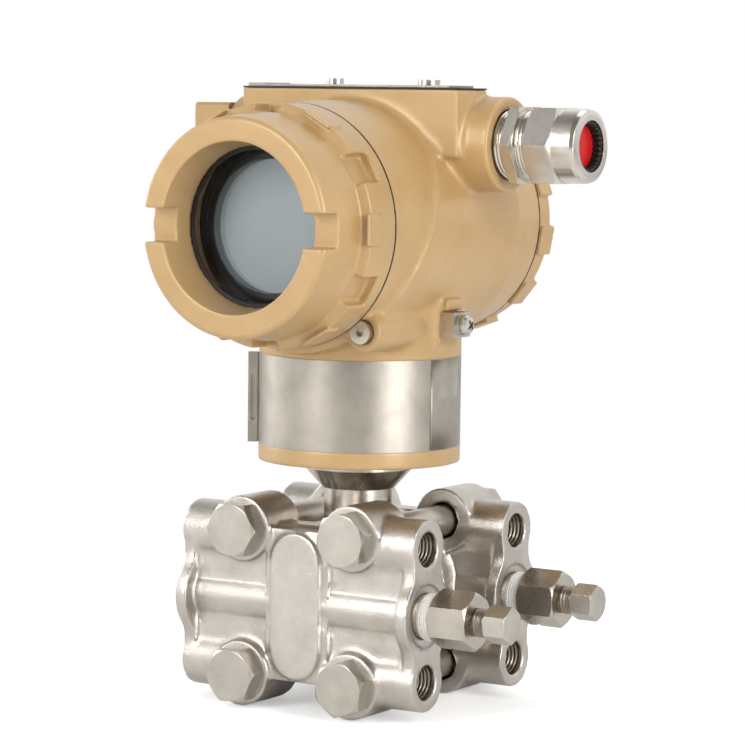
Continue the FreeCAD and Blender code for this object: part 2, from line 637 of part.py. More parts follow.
def housing():
    wall_front, wall_rear = front_face, s.rear_y
    barrel_turn = turned_y("Barrel", [
        (wall_front, 0.0), (wall_front, s.front_rim_dia / 2),
        (s.taper_start / 2 - s.front_y, s.barrel_dia / 2), (s.taper_start, s.barrel_dia / 2),
        (wall_rear, s.rear_rim_dia / 2), (wall_rear, 0.0)])
    swell = cylinder(s.swell_dia, s.front_y + s.swell_rear, 0.0, front_face, 0.0, TO_Y)
    swell_body = cut(swell, tilted_front())
    neck_foot = s.neck_foot_z - s.barrel_z
    neck = cylinder(s.neck_dia, -neck_foot, 0.0, 0.0, neck_foot)
    conduit = cylinder(s.conduit_boss_dia, 2 * s.boss_reach, -s.boss_reach, s.boss_y,
                       s.boss_z, TO_X)
    pad = block(s.pad_length, s.pad_depth, s.pad_z / 2, 0.0, 0.0, s.pad_z / 2)
    front_x, lock_z = lock_place()
    rear_x, lock_z = lock_place(True)
    lip = s.lock_head / 2
    front_lock = cylinder(s.lock_boss_dia, s.lock_boss_length, front_x, front_face + lip,
                          lock_z, TO_Y)
    rear_lock = cylinder(s.lock_boss_dia, s.lock_boss_length, rear_x,
                         s.rear_y - lip - s.lock_boss_length, lock_z, TO_Y)
    earth = block(s.earth_x, s.earth_width, s.earth_height, s.earth_x / 2, 0.0,
                  -s.earth_z - s.earth_height / 2)
    stop_z = s.clip_height / 2 - s.earth_z + s.seat_gap * 2
    stop = block(s.earth_x + s.stop_rise, s.stop_width, s.stop_height,
                 (s.earth_x + s.stop_rise) / 2, 0.0, stop_z)
    solid = fuse(barrel_turn, swell_body, neck, conduit, pad, front_lock, rear_lock,
                 earth, stop)

    front_end, rear_end = -s.partition_y, partition_rear
    cuts = [
        turned_y("FrontRoom", [
            (wall_front - s.cover_gap, 0.0), (wall_front - s.cover_gap, s.bore_dia / 2),
            (wall_front + s.thread_length, s.bore_dia / 2),
            (wall_front + s.thread_length, inner_dia / 2),
            (front_end, inner_dia / 2), (front_end, 0.0)]),
        turned_y("RearRoom", [
            (rear_end, 0.0), (rear_end, inner_dia / 2),
            (wall_rear - s.thread_length, inner_dia / 2),
            (wall_rear - s.thread_length, s.bore_dia / 2),
            (wall_rear + s.cover_gap, s.bore_dia / 2), (wall_rear + s.cover_gap, 0.0)]),
        cylinder(s.spigot_dia + 2 * s.running, s.neck_floor + 1.0, 0.0, 0.0, neck_foot - 1.0),
        cylinder(s.neck_bore_dia, -neck_foot - s.neck_floor - inner_dia / 2 + s.wire_bore,
                 0.0, 0.0, neck_foot + s.neck_floor),
        cylinder(s.conduit_dia + 2 * s.snug, 2 * s.boss_reach + 2.0, -s.boss_reach - 1.0,
                 s.boss_y, s.boss_z, TO_X),
    ]
    lip_dia = s.conduit_dia + 2 * s.conduit_lip
    cuts.append(cone(s.conduit_dia, lip_dia, s.conduit_lip, s.boss_reach - s.conduit_lip,
                     s.boss_y, s.boss_z, TO_X))
    cuts.append(cone(lip_dia, s.conduit_dia, s.conduit_lip, -s.boss_reach,
                     s.boss_y, s.boss_z, TO_X))
    band_z = s.band_foot_z - s.barrel_z
    groove = turned_z("BandGroove", [
        (band_z, s.neck_dia / 2 - s.band_thick - s.snug), (band_z, s.neck_dia / 2 + 2.0),
        (band_z + s.band_height, s.neck_dia / 2 + 2.0),
        (band_z + s.band_height, s.neck_dia / 2 - s.band_thick - s.snug)])
    cuts.append(groove)
    head = s.lock_head_dia + 2 * s.running
    screw = s.lock_dia + 2 * s.snug
    deep = s.lock_head + s.lock_length
    for x, start, rotation in ((front_x, wall_front - s.cover_gap, TO_Y),
                               (rear_x, wall_rear + s.cover_gap, TO_FRONT)):
        cuts.append(cylinder(head, s.lock_head + 2 * s.cover_gap, x, start, lock_z, rotation))
        cuts.append(cylinder(screw, deep + 2 * s.cover_gap, x, start, lock_z, rotation))
    cuts.append(cylinder(s.earth_dia + 2 * s.snug, s.earth_length,
                         s.earth_x - s.earth_length + s.seat_gap, 0.0, -s.earth_z, TO_X))
    for x in (s.pivot_x, -s.clamp_x):
        cuts.append(cylinder(s.screw_dia + 2 * s.snug, s.top_screw_length, x, 0.0,
                             s.pad_z - s.top_screw_length + s.mat_thick))
    for x in (-s.zero_x, s.span_x):
        room = s.button_length + s.button_travel + s.seat_gap
        cuts.append(cylinder(s.button_dia + 2 * s.running, room + 1.0, x, 0.0, s.pad_z - room))
    cuts.append(cylinder(s.lock_dia + 2 * s.snug, s.neck_dia / 2, 0.0, s.spigot_dia / 4,
                         (s.neck_foot_z + s.band_foot_z) / 2 - s.barrel_z, TO_Y))
    node(cut(solid, *cuts), "housing", *barrel)


def tilted_front():
    """Tool that trims the swelling of the barrel along a plane leaning to the rear."""
    width, height = s.swell_dia, 2 * s.swell_dia
    tool = doc.addObject("Part::Box", "Trim")
    bind(tool, "Length", height)
    bind(tool, "Width", width)
    bind(tool, "Height", height)
    lean = FreeCAD.Rotation(V(-1, 0, 0), number(s.swell_tilt))
    along = width * cosine(s.swell_tilt) + s.swell_dia * sine(s.swell_tilt)
    up = width * sine(s.swell_tilt) - s.swell_dia * cosine(s.swell_tilt)
    place(tool, -s.swell_dia, -s.swell_y - along, up, lean)
    tool.setExpression(".Placement.Rotation.Angle", "Sizes.swell_tilt * 1 deg")
    return tool


# ----------------------------------------------------------------------------
# Covers
# ----------------------------------------------------------------------------
def rectangle(sketch, left, right, low, high):
    outline(sketch, [(left, low), (right, low), (right, high), (left, high)])


def feature(body, kind, role, name, offset, sides, length, reverse=False):
    """Pad or pocket of one rectangle drawn on a plane parallel to an origin plane."""
    sketch = new_sketch(body, role, name + "_sketch", offset)
    rectangle(sketch, *sides)
    item = body.newObject("PartDesign::" + kind, name)
    item.Profile = sketch
    bind(item, "Length", length)
    item.Reversed = reverse
    doc.recompute()
    return item


def around_barrel(body, item, count, name):
    """Repeat a feature at equal angles about the barrel's axis."""
    for axis in body.Origin.OriginFeatures:
        if axis.Role == "Y_Axis":
            pattern = body.newObject("PartDesign::PolarPattern", name)
            pattern.Originals = [item]
            pattern.Axis = (axis, [""])
            pattern.Angle = 360
            pattern.Occurrences = count
            body.Tip = pattern
            doc.recompute()
    return pattern


def window_cover():
    rim, root, skirt = s.cover_rim_dia / 2, s.window_root_dia / 2, skirt_dia / 2
    edge = s.tab_rise * 2
    rim_end = rim_face - s.cover_rim
    keeper = keeper_dia / 2 + s.snug
    throat = glass_dia / 2 - s.glass_hold
    body = turned_y("WindowCover", [
        (rim_face, oring_root), (rim_face + oring_room, oring_root),
        (rim_face + oring_room, skirt), (rim_face + s.cover_skirt, skirt),
        (rim_face + s.cover_skirt, keeper), (glass_back, keeper),
        (glass_back, glass_dia / 2 + s.snug), (seal_front, glass_dia / 2 + s.snug),
        (seal_front, throat), (window_face, throat + s.bezel_flare),
        (window_face, s.window_face_dia / 2 - edge),
        (window_face + edge, s.window_face_dia / 2),
        (rim_end - s.rim_slope, root), (rim_end, rim), (rim_face, rim)])
    doc.recompute()
    half = s.notch_width / 2
    feature(body, "Pocket", "XZ_Plane", "Notch", -window_face,
            (-rim, rim, -half, half), s.notch_depth)
    half = s.pocket_width / 2
    pocket = feature(body, "Pocket", "XZ_Plane", "GripPocket", s.rim_slope - rim_end,
                     (-half, half, rim - s.pocket_depth, rim + s.pocket_depth),
                     s.pocket_length)
    around_barrel(body, pocket, 6, "GripPockets")
    half = s.tab_width / 2
    tab = feature(body, "Pad", "XZ_Plane", "Tab", s.tab_length - rim_end - s.cover_rim / 2 +
                  s.rim_slope, (rim - s.tab_rise, rim + s.tab_rise, -half, half),
                  s.tab_length, True)
    around_barrel(body, tab, 6, "Tabs")
    node(body, "front_cover", *barrel)


def blind_cover():
    rim, root, skirt = s.cover_rim_dia / 2, s.rear_root_dia / 2, skirt_dia / 2
    rim_end, back = rear_rim_face + s.rear_rim, rear_rim_face + s.rear_reach
    inner = skirt - s.skirt_wall
    edge = s.rim_slope
    body = turned_y("BlindCover", [
        (rear_rim_face, oring_root), (rear_rim_face - oring_room, oring_root),
        (rear_rim_face - oring_room, skirt), (rear_rim_face - s.cover_skirt, skirt),
        (rear_rim_face - s.cover_skirt, inner), (back - 3 * edge, inner - edge),
        (back - 3 * edge, 0.0), (back, 0.0), (back, root - 2 * edge), (back - edge, root - edge),
        (rim_end + edge, root), (rim_end, rim - s.lug_rise), (rear_rim_face, rim - s.lug_rise)])
    doc.recompute()
    half = s.notch_width / 2
    feature(body, "Pocket", "XZ_Plane", "Slot", -back, (-rim, rim, -half, half),
            s.rim_slope, True)
    half = s.lug_width / 2
    lug = feature(body, "Pad", "XZ_Plane", "Lug", -(rear_rim_face + s.tab_rise),
                  (rim - 2 * s.lug_rise, rim, -half, half), s.rear_rim - s.tab_rise, True)
    around_barrel(body, lug, int(number(s.lug_count)), "Lugs")
    node(body, "rear_cover", *barrel, FreeCAD.Rotation(V(0, 1, 0), number(s.rear_turn)))


def cover_orings():
    wire = s.cover_oring
    dia = skirt_dia - wire - 2 * s.running
    middle = oring_room / 2
    for name, along in (("front", rim_face + middle), ("rear", rear_rim_face - middle)):
        oring = seal_ring(turned_y, "Oring_" + name, dia, wire)
        node(oring, name + "_cover_oring", neck_x, along, s.barrel_z)


def window_stack():
    """Clear window held between its seal and a threaded keeper ring."""
    node(cylinder(glass_dia, s.glass_thick), "window_glass",
         neck_x, glass_front, s.barrel_z, TO_Y)
    seal_bore = glass_dia - 2 * s.seal_width
    seal = turned_y("WindowSeal", [
        (seal_front, seal_bore / 2), (seal_front, glass_dia / 2),
        (glass_front, glass_dia / 2), (glass_front, seal_bore / 2)])
    node(seal, "window_seal", *barrel)
    keeper_bore = glass_dia - 2 * s.keeper_width
    keeper = turned_y("WindowKeeper", [
        (glass_back, keeper_bore / 2), (glass_back, keeper_dia / 2),
        (glass_back + s.keeper_thick, keeper_dia / 2),
        (glass_back + s.keeper_thick, keeper_bore / 2)])
    node(keeper, "window_keeper", *barrel)


# ----------------------------------------------------------------------------
# Display, electronics and terminals
# ----------------------------------------------------------------------------
def electronics():
    front = glass_back + s.display_gap
    back = front + s.display_depth
    lcd_dia = display_dia - 2 * s.display_wall
    shell = turned_y("Display", [
        (front, lcd_dia / 2 + s.snug), (front, display_dia / 2),
        (back, display_dia / 2), (back, 0.0), (front + s.lcd_thick, 0.0),
        (front + s.lcd_thick, lcd_dia / 2 + s.snug)])
    node(shell, "display_module", *barrel)
    node(cylinder(lcd_dia, s.lcd_thick), "display_panel", neck_x, front, s.barrel_z, TO_Y)
    board_front = -s.board_y - s.board_thick
    node(cylinder(board_dia, s.board_thick), "electronics_board",
         neck_x, board_front, s.barrel_z, TO_Y)
    posts = []
    reach = board_dia / 2 - s.post_margin
    for angle in (45.0, 135.0, 225.0, 315.0):
        x = reach * math.cos(math.radians(angle))
        z = reach * math.sin(math.radians(angle))
        posts.append(cylinder(s.post_dia, board_front - back, x, back, z, TO_Y))
        posts.append(cylinder(s.post_dia, s.board_y - s.partition_y, x, -s.board_y, z, TO_Y))
    node(group(*posts), "board_posts", *barrel)
    plate = cylinder(block_dia, s.block_depth, 0.0, partition_rear, 0.0, TO_Y)
    step = block(block_dia, s.block_depth, block_dia / 2, 0.0,
                 partition_rear + s.block_face + s.block_depth / 2, s.terminal_dia)
    floor_step = block(block_dia, s.block_depth, block_dia / 2, 0.0,
                       partition_rear + s.block_face + s.block_depth / 2,
                       -block_dia / 2 - s.terminal_dia)
    holes, screws = [], []
    face = partition_rear + s.block_depth
    for index in (-1, 0, 1):
        x = index * s.terminal_pitch
        holes.append(cylinder(s.screw_dia + 2 * s.snug, s.block_face, x,
                              face - s.block_face, 0.0, TO_Y))
        head = cylinder(s.terminal_dia, s.clamp_head, x, face, 0.0, TO_Y)
        shank = cylinder(s.screw_dia, s.block_face - s.seat_gap, x,
                         face - s.block_face + s.seat_gap, 0.0, TO_Y)
        screws.append(fuse(head, shank))
    node(cut(plate, step, floor_step, *holes), "terminal_block", *barrel)
    node(group(*screws), "terminal_screws", *barrel)


# ----------------------------------------------------------------------------
# Cable gland and the plug of the unused conduit entry
# ----------------------------------------------------------------------------
def cable_gland():
    entry = (neck_x + s.boss_reach, s.boss_y, s.barrel_z + s.boss_z)
    hex_start = s.gland_thread_out
    hex_end = hex_start + s.gland_flange
    nut_start = hex_end + s.gland_ring
    nut_hex_end = nut_start + s.gland_nut_hex
    mouth = nut_hex_end + s.gland_nose
    male_end = nut_start + s.gland_nut_hex / 2
    edge = s.hex_bevel
    male, bore = s.gland_male_dia / 2, s.gland_bore / 2
    tube = turned_x("GlandTube", [
        (-s.gland_in, 0.0), (-s.gland_in, s.gland_dia / 2 - edge),
        (edge - s.gland_in, s.gland_dia / 2), (hex_start + edge, s.gland_dia / 2),
        (hex_start + edge, male), (male_end, male), (male_end, 0.0)])
    flange = hex_bar(s.gland_flange_flats, s.gland_flange, edge / 2, hex_start, True, 90.0)
    passage = cylinder(s.gland_bore, s.gland_in + male_end + 2.0, -s.gland_in - 1.0,
                       0.0, 0.0, TO_X)
    node(cut(fuse(tube, flange), passage), "gland_body", *entry)
    seal_start = male_end + s.seat_gap
    seal_end = mouth - s.gland_lip
    shoulder = seal_start + s.gland_washer + 2 * s.seat_gap
    nose, hole = s.gland_nose_dia / 2, s.gland_hole / 2
    nut_bar = hex_bar(s.gland_nut_flats, s.gland_nut_hex, edge, nut_start, True, 90.0)
    nut_nose = turned_x("Nose", [
        (nut_hex_end - edge, 0.0), (nut_hex_end - edge, nose), (mouth - 2 * edge, nose),
        (mouth - edge / 2, nose - edge / 2), (mouth, nose - 2 * edge), (mouth, 0.0)])
    room = turned_x("NutRoom", [
        (nut_start - 1.0, 0.0), (nut_start - 1.0, male + s.running),
        (shoulder, male + s.running), (shoulder, hole), (mouth + 1.0, hole),
        (mouth + 1.0, 0.0)])
    node(cut(fuse(nut_bar, nut_nose), room), "gland_nut", *entry)
    washer = turned_x("SkidWasher", [
        (seal_start, hole + s.running), (seal_start, male - s.running),
        (seal_start + s.gland_washer, male - s.running),
        (seal_start + s.gland_washer, hole + s.running)])
    node(washer, "gland_washer", *entry)
    sleeve = s.seal_dia / 2
    pocket = s.plug_head_dia / 2 + s.snug
    plug_seat = seal_end - s.plug_recess - s.plug_head
    seal = turned_x("Seal", [
        (seal_start, s.seal_hole / 2), (seal_start, sleeve), (seal_end, sleeve),
        (seal_end, pocket), (plug_seat, pocket), (plug_seat, s.seal_hole / 2)])
    node(seal, "gland_seal", *entry)
    plug = turned_x("CablePlug", [
        (seal_start, 0.0), (seal_start, s.seal_hole / 2 - s.snug),
        (plug_seat, s.seal_hole / 2 - s.snug), (plug_seat, s.plug_head_dia / 2),
        (plug_seat + s.plug_head, s.plug_head_dia / 2), (plug_seat + s.plug_head, 0.0)])
    node(plug, "gland_plug", *entry)


def conduit_plug():
    """Painted plug of the left entry, with a square head."""
    edge, thread = s.hex_bevel, s.conduit_dia / 2
    shank = turned_x("StopPlug", [
        (-s.stop_plug_in, 0.0), (-s.stop_plug_in, thread - edge), (edge - s.stop_plug_in, thread),
        (edge, thread), (edge, 0.0)])
    half = s.stop_plug_flats / 2
    head = doc.addObject("PartDesign::Body", "StopHead")
    sketch = new_sketch(head, "YZ_Plane", "StopHead_end")
    outline(sketch, [(edge - half, -half), (half - edge, -half), (half, edge - half),
                     (half, half - edge), (half - edge, half), (edge - half, half),
                     (-half, half - edge), (-half, edge - half)])
    bar = head.newObject("PartDesign::Pad", "StopHead_bar")
    bar.Profile = sketch
    bind(bar, "Length", s.stop_plug_head)
    node(fuse(shank, head), "conduit_plug", neck_x - s.boss_reach, s.boss_y,
         s.barrel_z + s.boss_z, FreeCAD.Rotation(V(0, 0, 1), 180))


# ----------------------------------------------------------------------------
# Top plate, its screws and the buttons below it
# ----------------------------------------------------------------------------
def top_plate():
    top = (neck_x, 0.0, s.barrel_z + s.pad_z)
    slip = s.screw_dia + 4 * s.running
    mat = block(s.pad_length, s.pad_depth, s.mat_thick)
    holes = [cylinder(s.screw_dia + 4 * s.running, 3 * s.mat_thick, x, 0.0, -s.mat_thick)
             for x in (s.pivot_x, -s.clamp_x)]
    holes += [cylinder(s.button_dia + 4 * s.running, 3 * s.mat_thick, x, 0.0, -s.mat_thick)
              for x in (-s.zero_x, s.span_x)]
    node(cut(mat, *holes), "top_mat", *top)
    span = s.plate_left + s.plate_right
    lift = s.mat_thick + s.running
    sheet_body = block(span, s.plate_depth, s.plate_sheet, (s.plate_right - s.plate_left) / 2,
                       0.0, lift)
    hem = block(s.plate_hem, s.plate_depth, s.plate_sheet, s.plate_hem / 2 - s.plate_left,
                0.0, lift + s.plate_sheet / 2)
    thick = 3 * s.plate_sheet
    pivot_hole = cylinder(slip, thick, s.pivot_x, 0.0, lift - s.plate_sheet)
    slot_end = cylinder(slip, thick, -s.clamp_x, 0.0, lift - s.plate_sheet)
    reach = s.pivot_x + s.clamp_x
    arc = cut(cylinder(2 * reach + slip, thick, s.pivot_x, 0.0, lift - s.plate_sheet),
              cylinder(2 * reach - slip, thick, s.pivot_x, 0.0, lift - s.plate_sheet))
    open_side = block(4 * slip, s.plate_depth, thick, -s.clamp_x, s.plate_depth / 2,
                      lift - s.plate_sheet)
    slot = common(arc, open_side)
    node(cut(fuse(sheet_body, hem), pivot_hole, slot_end, slot), "top_plate", *top)
    seat = lift + s.plate_sheet + 2 * s.running
    for name, x, head_dia, head in (
            ("plate_pivot_screw", s.pivot_x, s.pivot_head_dia, s.pivot_head),
            ("plate_clamp_screw", -s.clamp_x, s.clamp_head_dia, s.clamp_head)):
        shank = seat + s.top_screw_length - s.mat_thick - s.seat_gap
        screw = fuse(cylinder(head_dia, head, 0.0, 0.0, seat),
                     cylinder(s.screw_dia, shank + head / 2, 0.0, 0.0, seat - shank))
        node(screw, name, neck_x + x, 0.0, s.barrel_z + s.pad_z)
    for name, x in (("zero_button", -s.zero_x), ("span_button", s.span_x)):
        button = cylinder(s.button_dia, s.button_length + s.mat_thick / 2)
        node(button, name, neck_x + x, 0.0, s.barrel_z + s.pad_z - s.button_length)


# ----------------------------------------------------------------------------
# Nameplate band, cover locks, set screw and earth terminal
# ----------------------------------------------------------------------------
def neck_band():
    outer = s.neck_dia / 2
    inner = outer - s.band_thick
    band = cut(cylinder(2 * outer, s.band_height),
               cylinder(2 * inner, s.band_height + 2.0, 0.0, 0.0, -1.0))
    turn = FreeCAD.Rotation(V(0, 0, 1), number(s.lock_tab_angle))
    tab = doc.addObject("Part::Box", "BandTab")
    clip_body = doc.addObject("Part::Box", "BandClip")
    groove = doc.addObject("Part::Box", "BandClipGroove")
    slit = doc.addObject("Part::Box", "BandClipSlit")
    thick, clip_wall = s.band_thick * 2, s.band_thick
    for obj, wide, tall, start, length, foot in (
            (tab, thick, s.band_height, inner, s.lock_tab_height - s.band_thick, 0.0),
            (clip_body, s.lock_tab_thick, s.band_height, outer + s.seat_gap,
             s.lock_tab_height - s.seat_gap, 0.0),
            (groove, thick + 2 * s.snug, s.band_height + 2.0, outer,
             s.lock_tab_height - clip_wall, -1.0),
            (slit, 2 * s.lock_tab_thick, s.band_height / 2, outer + s.seat_gap * 4,
             clip_wall * 2, s.band_height / 4)):
        bind(obj, "Length", length + (s.band_thick if obj is tab else 0.0))
        bind(obj, "Width", wide)
        bind(obj, "Height", tall)
        x = start * cosine(s.lock_tab_angle) + wide / 2 * sine(s.lock_tab_angle)
        y = start * sine(s.lock_tab_angle) - wide / 2 * cosine(s.lock_tab_angle)
        place(obj, x, y, foot, turn)
        obj.setExpression(".Placement.Rotation.Angle", "Sizes.lock_tab_angle * 1 deg")
    node(fuse(band, tab), "neck_band", neck_x, 0.0, s.band_foot_z)
    node(cut(clip_body, groove, slit), "band_clip", neck_x, 0.0, s.band_foot_z)


def cover_locks():
    for name, rear in (("front", False), ("rear", True)):
        x, z = lock_place(rear)
        head = cylinder(s.lock_head_dia, s.lock_head)
        shank = cylinder(s.lock_dia, s.lock_length, 0.0, 0.0, s.lock_head / 2)
        key = prism(s.lock_key, s.lock_head / 2 + 1.0, 0.0, 0.0, -1.0)
        along = s.rear_y if rear else front_face
        node(cut(fuse(head, shank), key), name + "_cover_lock_screw", neck_x + x, along,
             s.barrel_z + z, TO_FRONT if rear else TO_Y)
    bolt = cylinder(s.lock_dia, (s.neck_dia - s.spigot_dia) / 2 - 2 * s.seat_gap)
    key = prism(s.lock_key - 2 * s.running, s.lock_head, 0.0, 0.0,
                (s.neck_dia - s.spigot_dia) / 2 - s.lock_head)
    node(cut(bolt, key), "neck_set_screw", neck_x, s.spigot_dia / 2 + s.seat_gap,
         (s.neck_foot_z + s.band_foot_z) / 2, TO_Y)


def earth_terminal():
    place_at = (neck_x + s.earth_x, 0.0, s.barrel_z - s.earth_z)
    front = s.clip_reach + s.clip_sheet
    clip = cut(block(front, s.clip_width, s.clip_height, front / 2, 0.0, -s.clip_height / 2),
               block(s.clip_reach + 1.0, s.clip_width - 2 * s.clip_sheet, s.clip_height + 2.0,
                     s.clip_reach / 2 - 0.5, 0.0, -s.clip_height / 2 - 1.0),
               cylinder(s.earth_dia + 2 * s.snug, front + 2.0, -1.0, 0.0, 0.0, TO_X))
    node(clip, "earth_clip", *place_at)
    washer = cut(cylinder(s.washer_dia, s.washer_thick, front, 0.0, 0.0, TO_X),
                 cylinder(s.earth_dia + 2 * s.snug, front + 2.0, 0.0, 0.0, 0.0, TO_X))
    node(washer, "earth_washer", *place_at)
    head_start = front + s.washer_thick
    dome = s.earth_head / 3
    head = turned_x("EarthHead", [
        (head_start, 0.0), (head_start, s.earth_head_dia / 2),
        (head_start + s.earth_head - dome, s.earth_head_dia / 2),
        (head_start + s.earth_head, s.earth_head_dia / 2 - 2 * dome),
        (head_start + s.earth_head, 0.0)])
    shank = cylinder(s.earth_dia, head_start + s.earth_length - s.clip_reach - s.seat_gap + dome,
                     s.clip_reach + s.seat_gap - s.earth_length, 0.0, 0.0, TO_X)
    node(fuse(head, shank), "earth_screw", *place_at)


# ----------------------------------------------------------------------------
# Assembly, checks and files
# ----------------------------------------------------------------------------
def build():
    process_flanges()
    sensor()
    flange_bolting()
    vent_valves()
    housing()
    window_cover()
    blind_cover()
    cover_orings()
    window_stack()
    electronics()
    cable_gland()
    conduit_plug()
    top_plate()
    neck_band()
    cover_locks()
    earth_terminal()
    doc.recompute()


def check():
    """Stop before anything is written if an object failed or a shape is not sound."""
    for obj in doc.Objects:
        if "Invalid" in obj.State or "Error" in obj.State:
            raise RuntimeError("%s (%s) failed: %s" % (obj.Name, obj.Label, obj.State))
    for obj in NODES:
        if obj.Shape.isNull() or not obj.Shape.isValid() or not obj.Shape.Solids:
            raise RuntimeError("%s has no sound shape" % obj.Label)


def write():
    os.makedirs("parts", exist_ok=True)
    for obj in NODES:
        obj.Shape.exportStep("parts/%s.step" % obj.Label)
        box = obj.Shape.BoundBox
        print("%-28s %d solid(s) %10.1f mm3  z %7.2f .. %7.2f" % (
            obj.Label, len(obj.Shape.Solids), obj.Shape.Volume, box.ZMin, box.ZMax))


build()
check()
write()
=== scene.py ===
"""Looks of the differential pressure transmitter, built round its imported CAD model."""

import json
import math

import bmesh
import bpy
import numpy as np
from mathutils import Matrix, Vector


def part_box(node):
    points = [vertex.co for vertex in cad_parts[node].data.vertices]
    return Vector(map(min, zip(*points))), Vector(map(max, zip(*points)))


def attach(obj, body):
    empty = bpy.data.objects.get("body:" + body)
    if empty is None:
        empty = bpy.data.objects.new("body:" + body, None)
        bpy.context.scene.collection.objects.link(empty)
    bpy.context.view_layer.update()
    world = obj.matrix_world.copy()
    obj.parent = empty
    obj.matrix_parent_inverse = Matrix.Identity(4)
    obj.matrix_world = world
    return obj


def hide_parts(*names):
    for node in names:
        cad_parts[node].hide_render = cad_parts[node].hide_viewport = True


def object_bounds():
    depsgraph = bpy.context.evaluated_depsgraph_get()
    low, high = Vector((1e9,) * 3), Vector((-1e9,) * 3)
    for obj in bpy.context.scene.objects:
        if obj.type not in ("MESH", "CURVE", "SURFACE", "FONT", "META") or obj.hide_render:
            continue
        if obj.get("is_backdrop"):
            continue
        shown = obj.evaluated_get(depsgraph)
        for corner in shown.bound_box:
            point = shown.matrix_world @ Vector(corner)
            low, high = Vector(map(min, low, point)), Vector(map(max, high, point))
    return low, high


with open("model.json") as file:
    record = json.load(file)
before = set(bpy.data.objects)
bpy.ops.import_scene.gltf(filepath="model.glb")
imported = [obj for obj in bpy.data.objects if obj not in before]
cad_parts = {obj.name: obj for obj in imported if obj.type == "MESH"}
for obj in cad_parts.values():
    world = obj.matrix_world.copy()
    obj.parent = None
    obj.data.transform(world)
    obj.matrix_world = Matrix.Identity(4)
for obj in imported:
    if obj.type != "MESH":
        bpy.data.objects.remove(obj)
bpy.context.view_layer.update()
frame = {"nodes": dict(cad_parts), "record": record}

# ---------------------------------------------------------------------------
# Places, some read from the imported model and some given as numbers
# ---------------------------------------------------------------------------


def middle(node):
    low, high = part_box(node)
    return (Vector(low) + Vector(high)) / 2


def linked(name, data):
    """An object made from its data and put in the scene."""
    obj = bpy.data.objects.new(name, data)
    bpy.context.scene.collection.objects.link(obj)
    return obj


BARREL = middle("front_cover_oring")
NECK = middle("neck_band")
GLAND = middle("gland_body")
HOLE_LEVELS = (-0.02065, 0.02065)   # flange holes above and below the port axis
BOLT_COLUMNS = (-0.0204, 0.0204)
BOLT_ROWS = (-0.023, 0.023)
PORT_SEAT, HOLE_SEAT, BOLT_SEAT = 0.0105, 0.0066, 0.0062   # radii kept sharp on the flanges
COVER_SKIRT = 0.0318   # radius outside which a cover is cast and not machined
THREAD_DEPTH, THREAD_PITCH = 0.00062, 0.00127
FACETS_A_TOOTH = 6
STEP_IN, STEP_OUT = 0.6, 0.62   # shares of the way to the neighbours' mean, in and back out


# ---------------------------------------------------------------------------
# Materials
# ---------------------------------------------------------------------------
def srgb(r, g, b):
    """Linear colour of an 8-bit one."""
    def one(v):
        v /= 255.0
        return v / 12.92 if v <= 0.04045 else ((v + 0.055) / 1.055) ** 2.4
    return (one(r), one(g), one(b), 1.0)


class Nodes:
    """Short hand for one material's node tree."""

    def __init__(self, name):
        self.material = bpy.data.materials.new(name)
        self.material.use_nodes = True
        self.tree = self.material.node_tree
        self.tree.nodes.clear()
        self.output = self.tree.nodes.new("ShaderNodeOutputMaterial")
        self.shader = self.tree.nodes.new("ShaderNodeBsdfPrincipled")
        self.join(self.shader.outputs["BSDF"], self.output.inputs["Surface"])
        self.coords = self.tree.nodes.new("ShaderNodeTexCoord").outputs["Object"]

    def join(self, source, target):
        self.tree.links.new(source, target)

    def new(self, kind, **values):
        node = self.tree.nodes.new(kind)
        for key, value in values.items():
            if key in node.inputs:
                node.inputs[key].default_value = value
            else:
                setattr(node, key, value)
        return node

    def noise(self, scale, detail=3.0, roughness=0.55, stretch=None):
        node = self.new("ShaderNodeTexNoise", Scale=scale, Detail=detail, Roughness=roughness)
        self.join(self.stretched(stretch), node.inputs["Vector"])
        return node.outputs["Fac"]

    def stretched(self, stretch):
        if stretch is None:
            return self.coords
        mapping = self.new("ShaderNodeMapping", Scale=stretch)
        self.join(self.coords, mapping.inputs["Vector"])
        return mapping.outputs["Vector"]

    def ramp(self, fac, low, high, start=0.3, end=0.7):
        node = self.new("ShaderNodeMapRange")
        node.clamp = True
        for key, value in (("From Min", start), ("From Max", end), ("To Min", low),
                           ("To Max", high)):
            node.inputs[key].default_value = value
        self.join(fac, node.inputs["Value"])
        return node.outputs["Result"]

    def mix(self, fac, first, second):
        node = self.new("ShaderNodeMix")
        node.data_type = "RGBA"
        self.join(fac, node.inputs["Factor"])
        colours = [socket for socket in node.inputs if socket.type == "RGBA"]
        for value, socket in zip((first, second), colours):
            if isinstance(value, bpy.types.NodeSocket):
                self.join(value, socket)
            else:
                socket.default_value = value
        return next(socket for socket in node.outputs if socket.type == "RGBA")

    def bump(self, height, distance, strength=1.0, normal=None):
        node = self.new("ShaderNodeBump", Strength=strength, Distance=distance)
        self.join(height, node.inputs["Height"])
        if normal is not None:
            self.join(normal, node.inputs["Normal"])
        return node.outputs["Normal"]

    def soft_edges(self, radius):
        node = self.new("ShaderNodeBevel", Radius=radius)
        node.samples = 4
        return node.outputs["Normal"]

    def set(self, **values):
        for key, value in values.items():
            self.shader.inputs[key.replace("_", " ")].default_value = value

    def feed(self, key, source):
        self.join(source, self.shader.inputs[key])


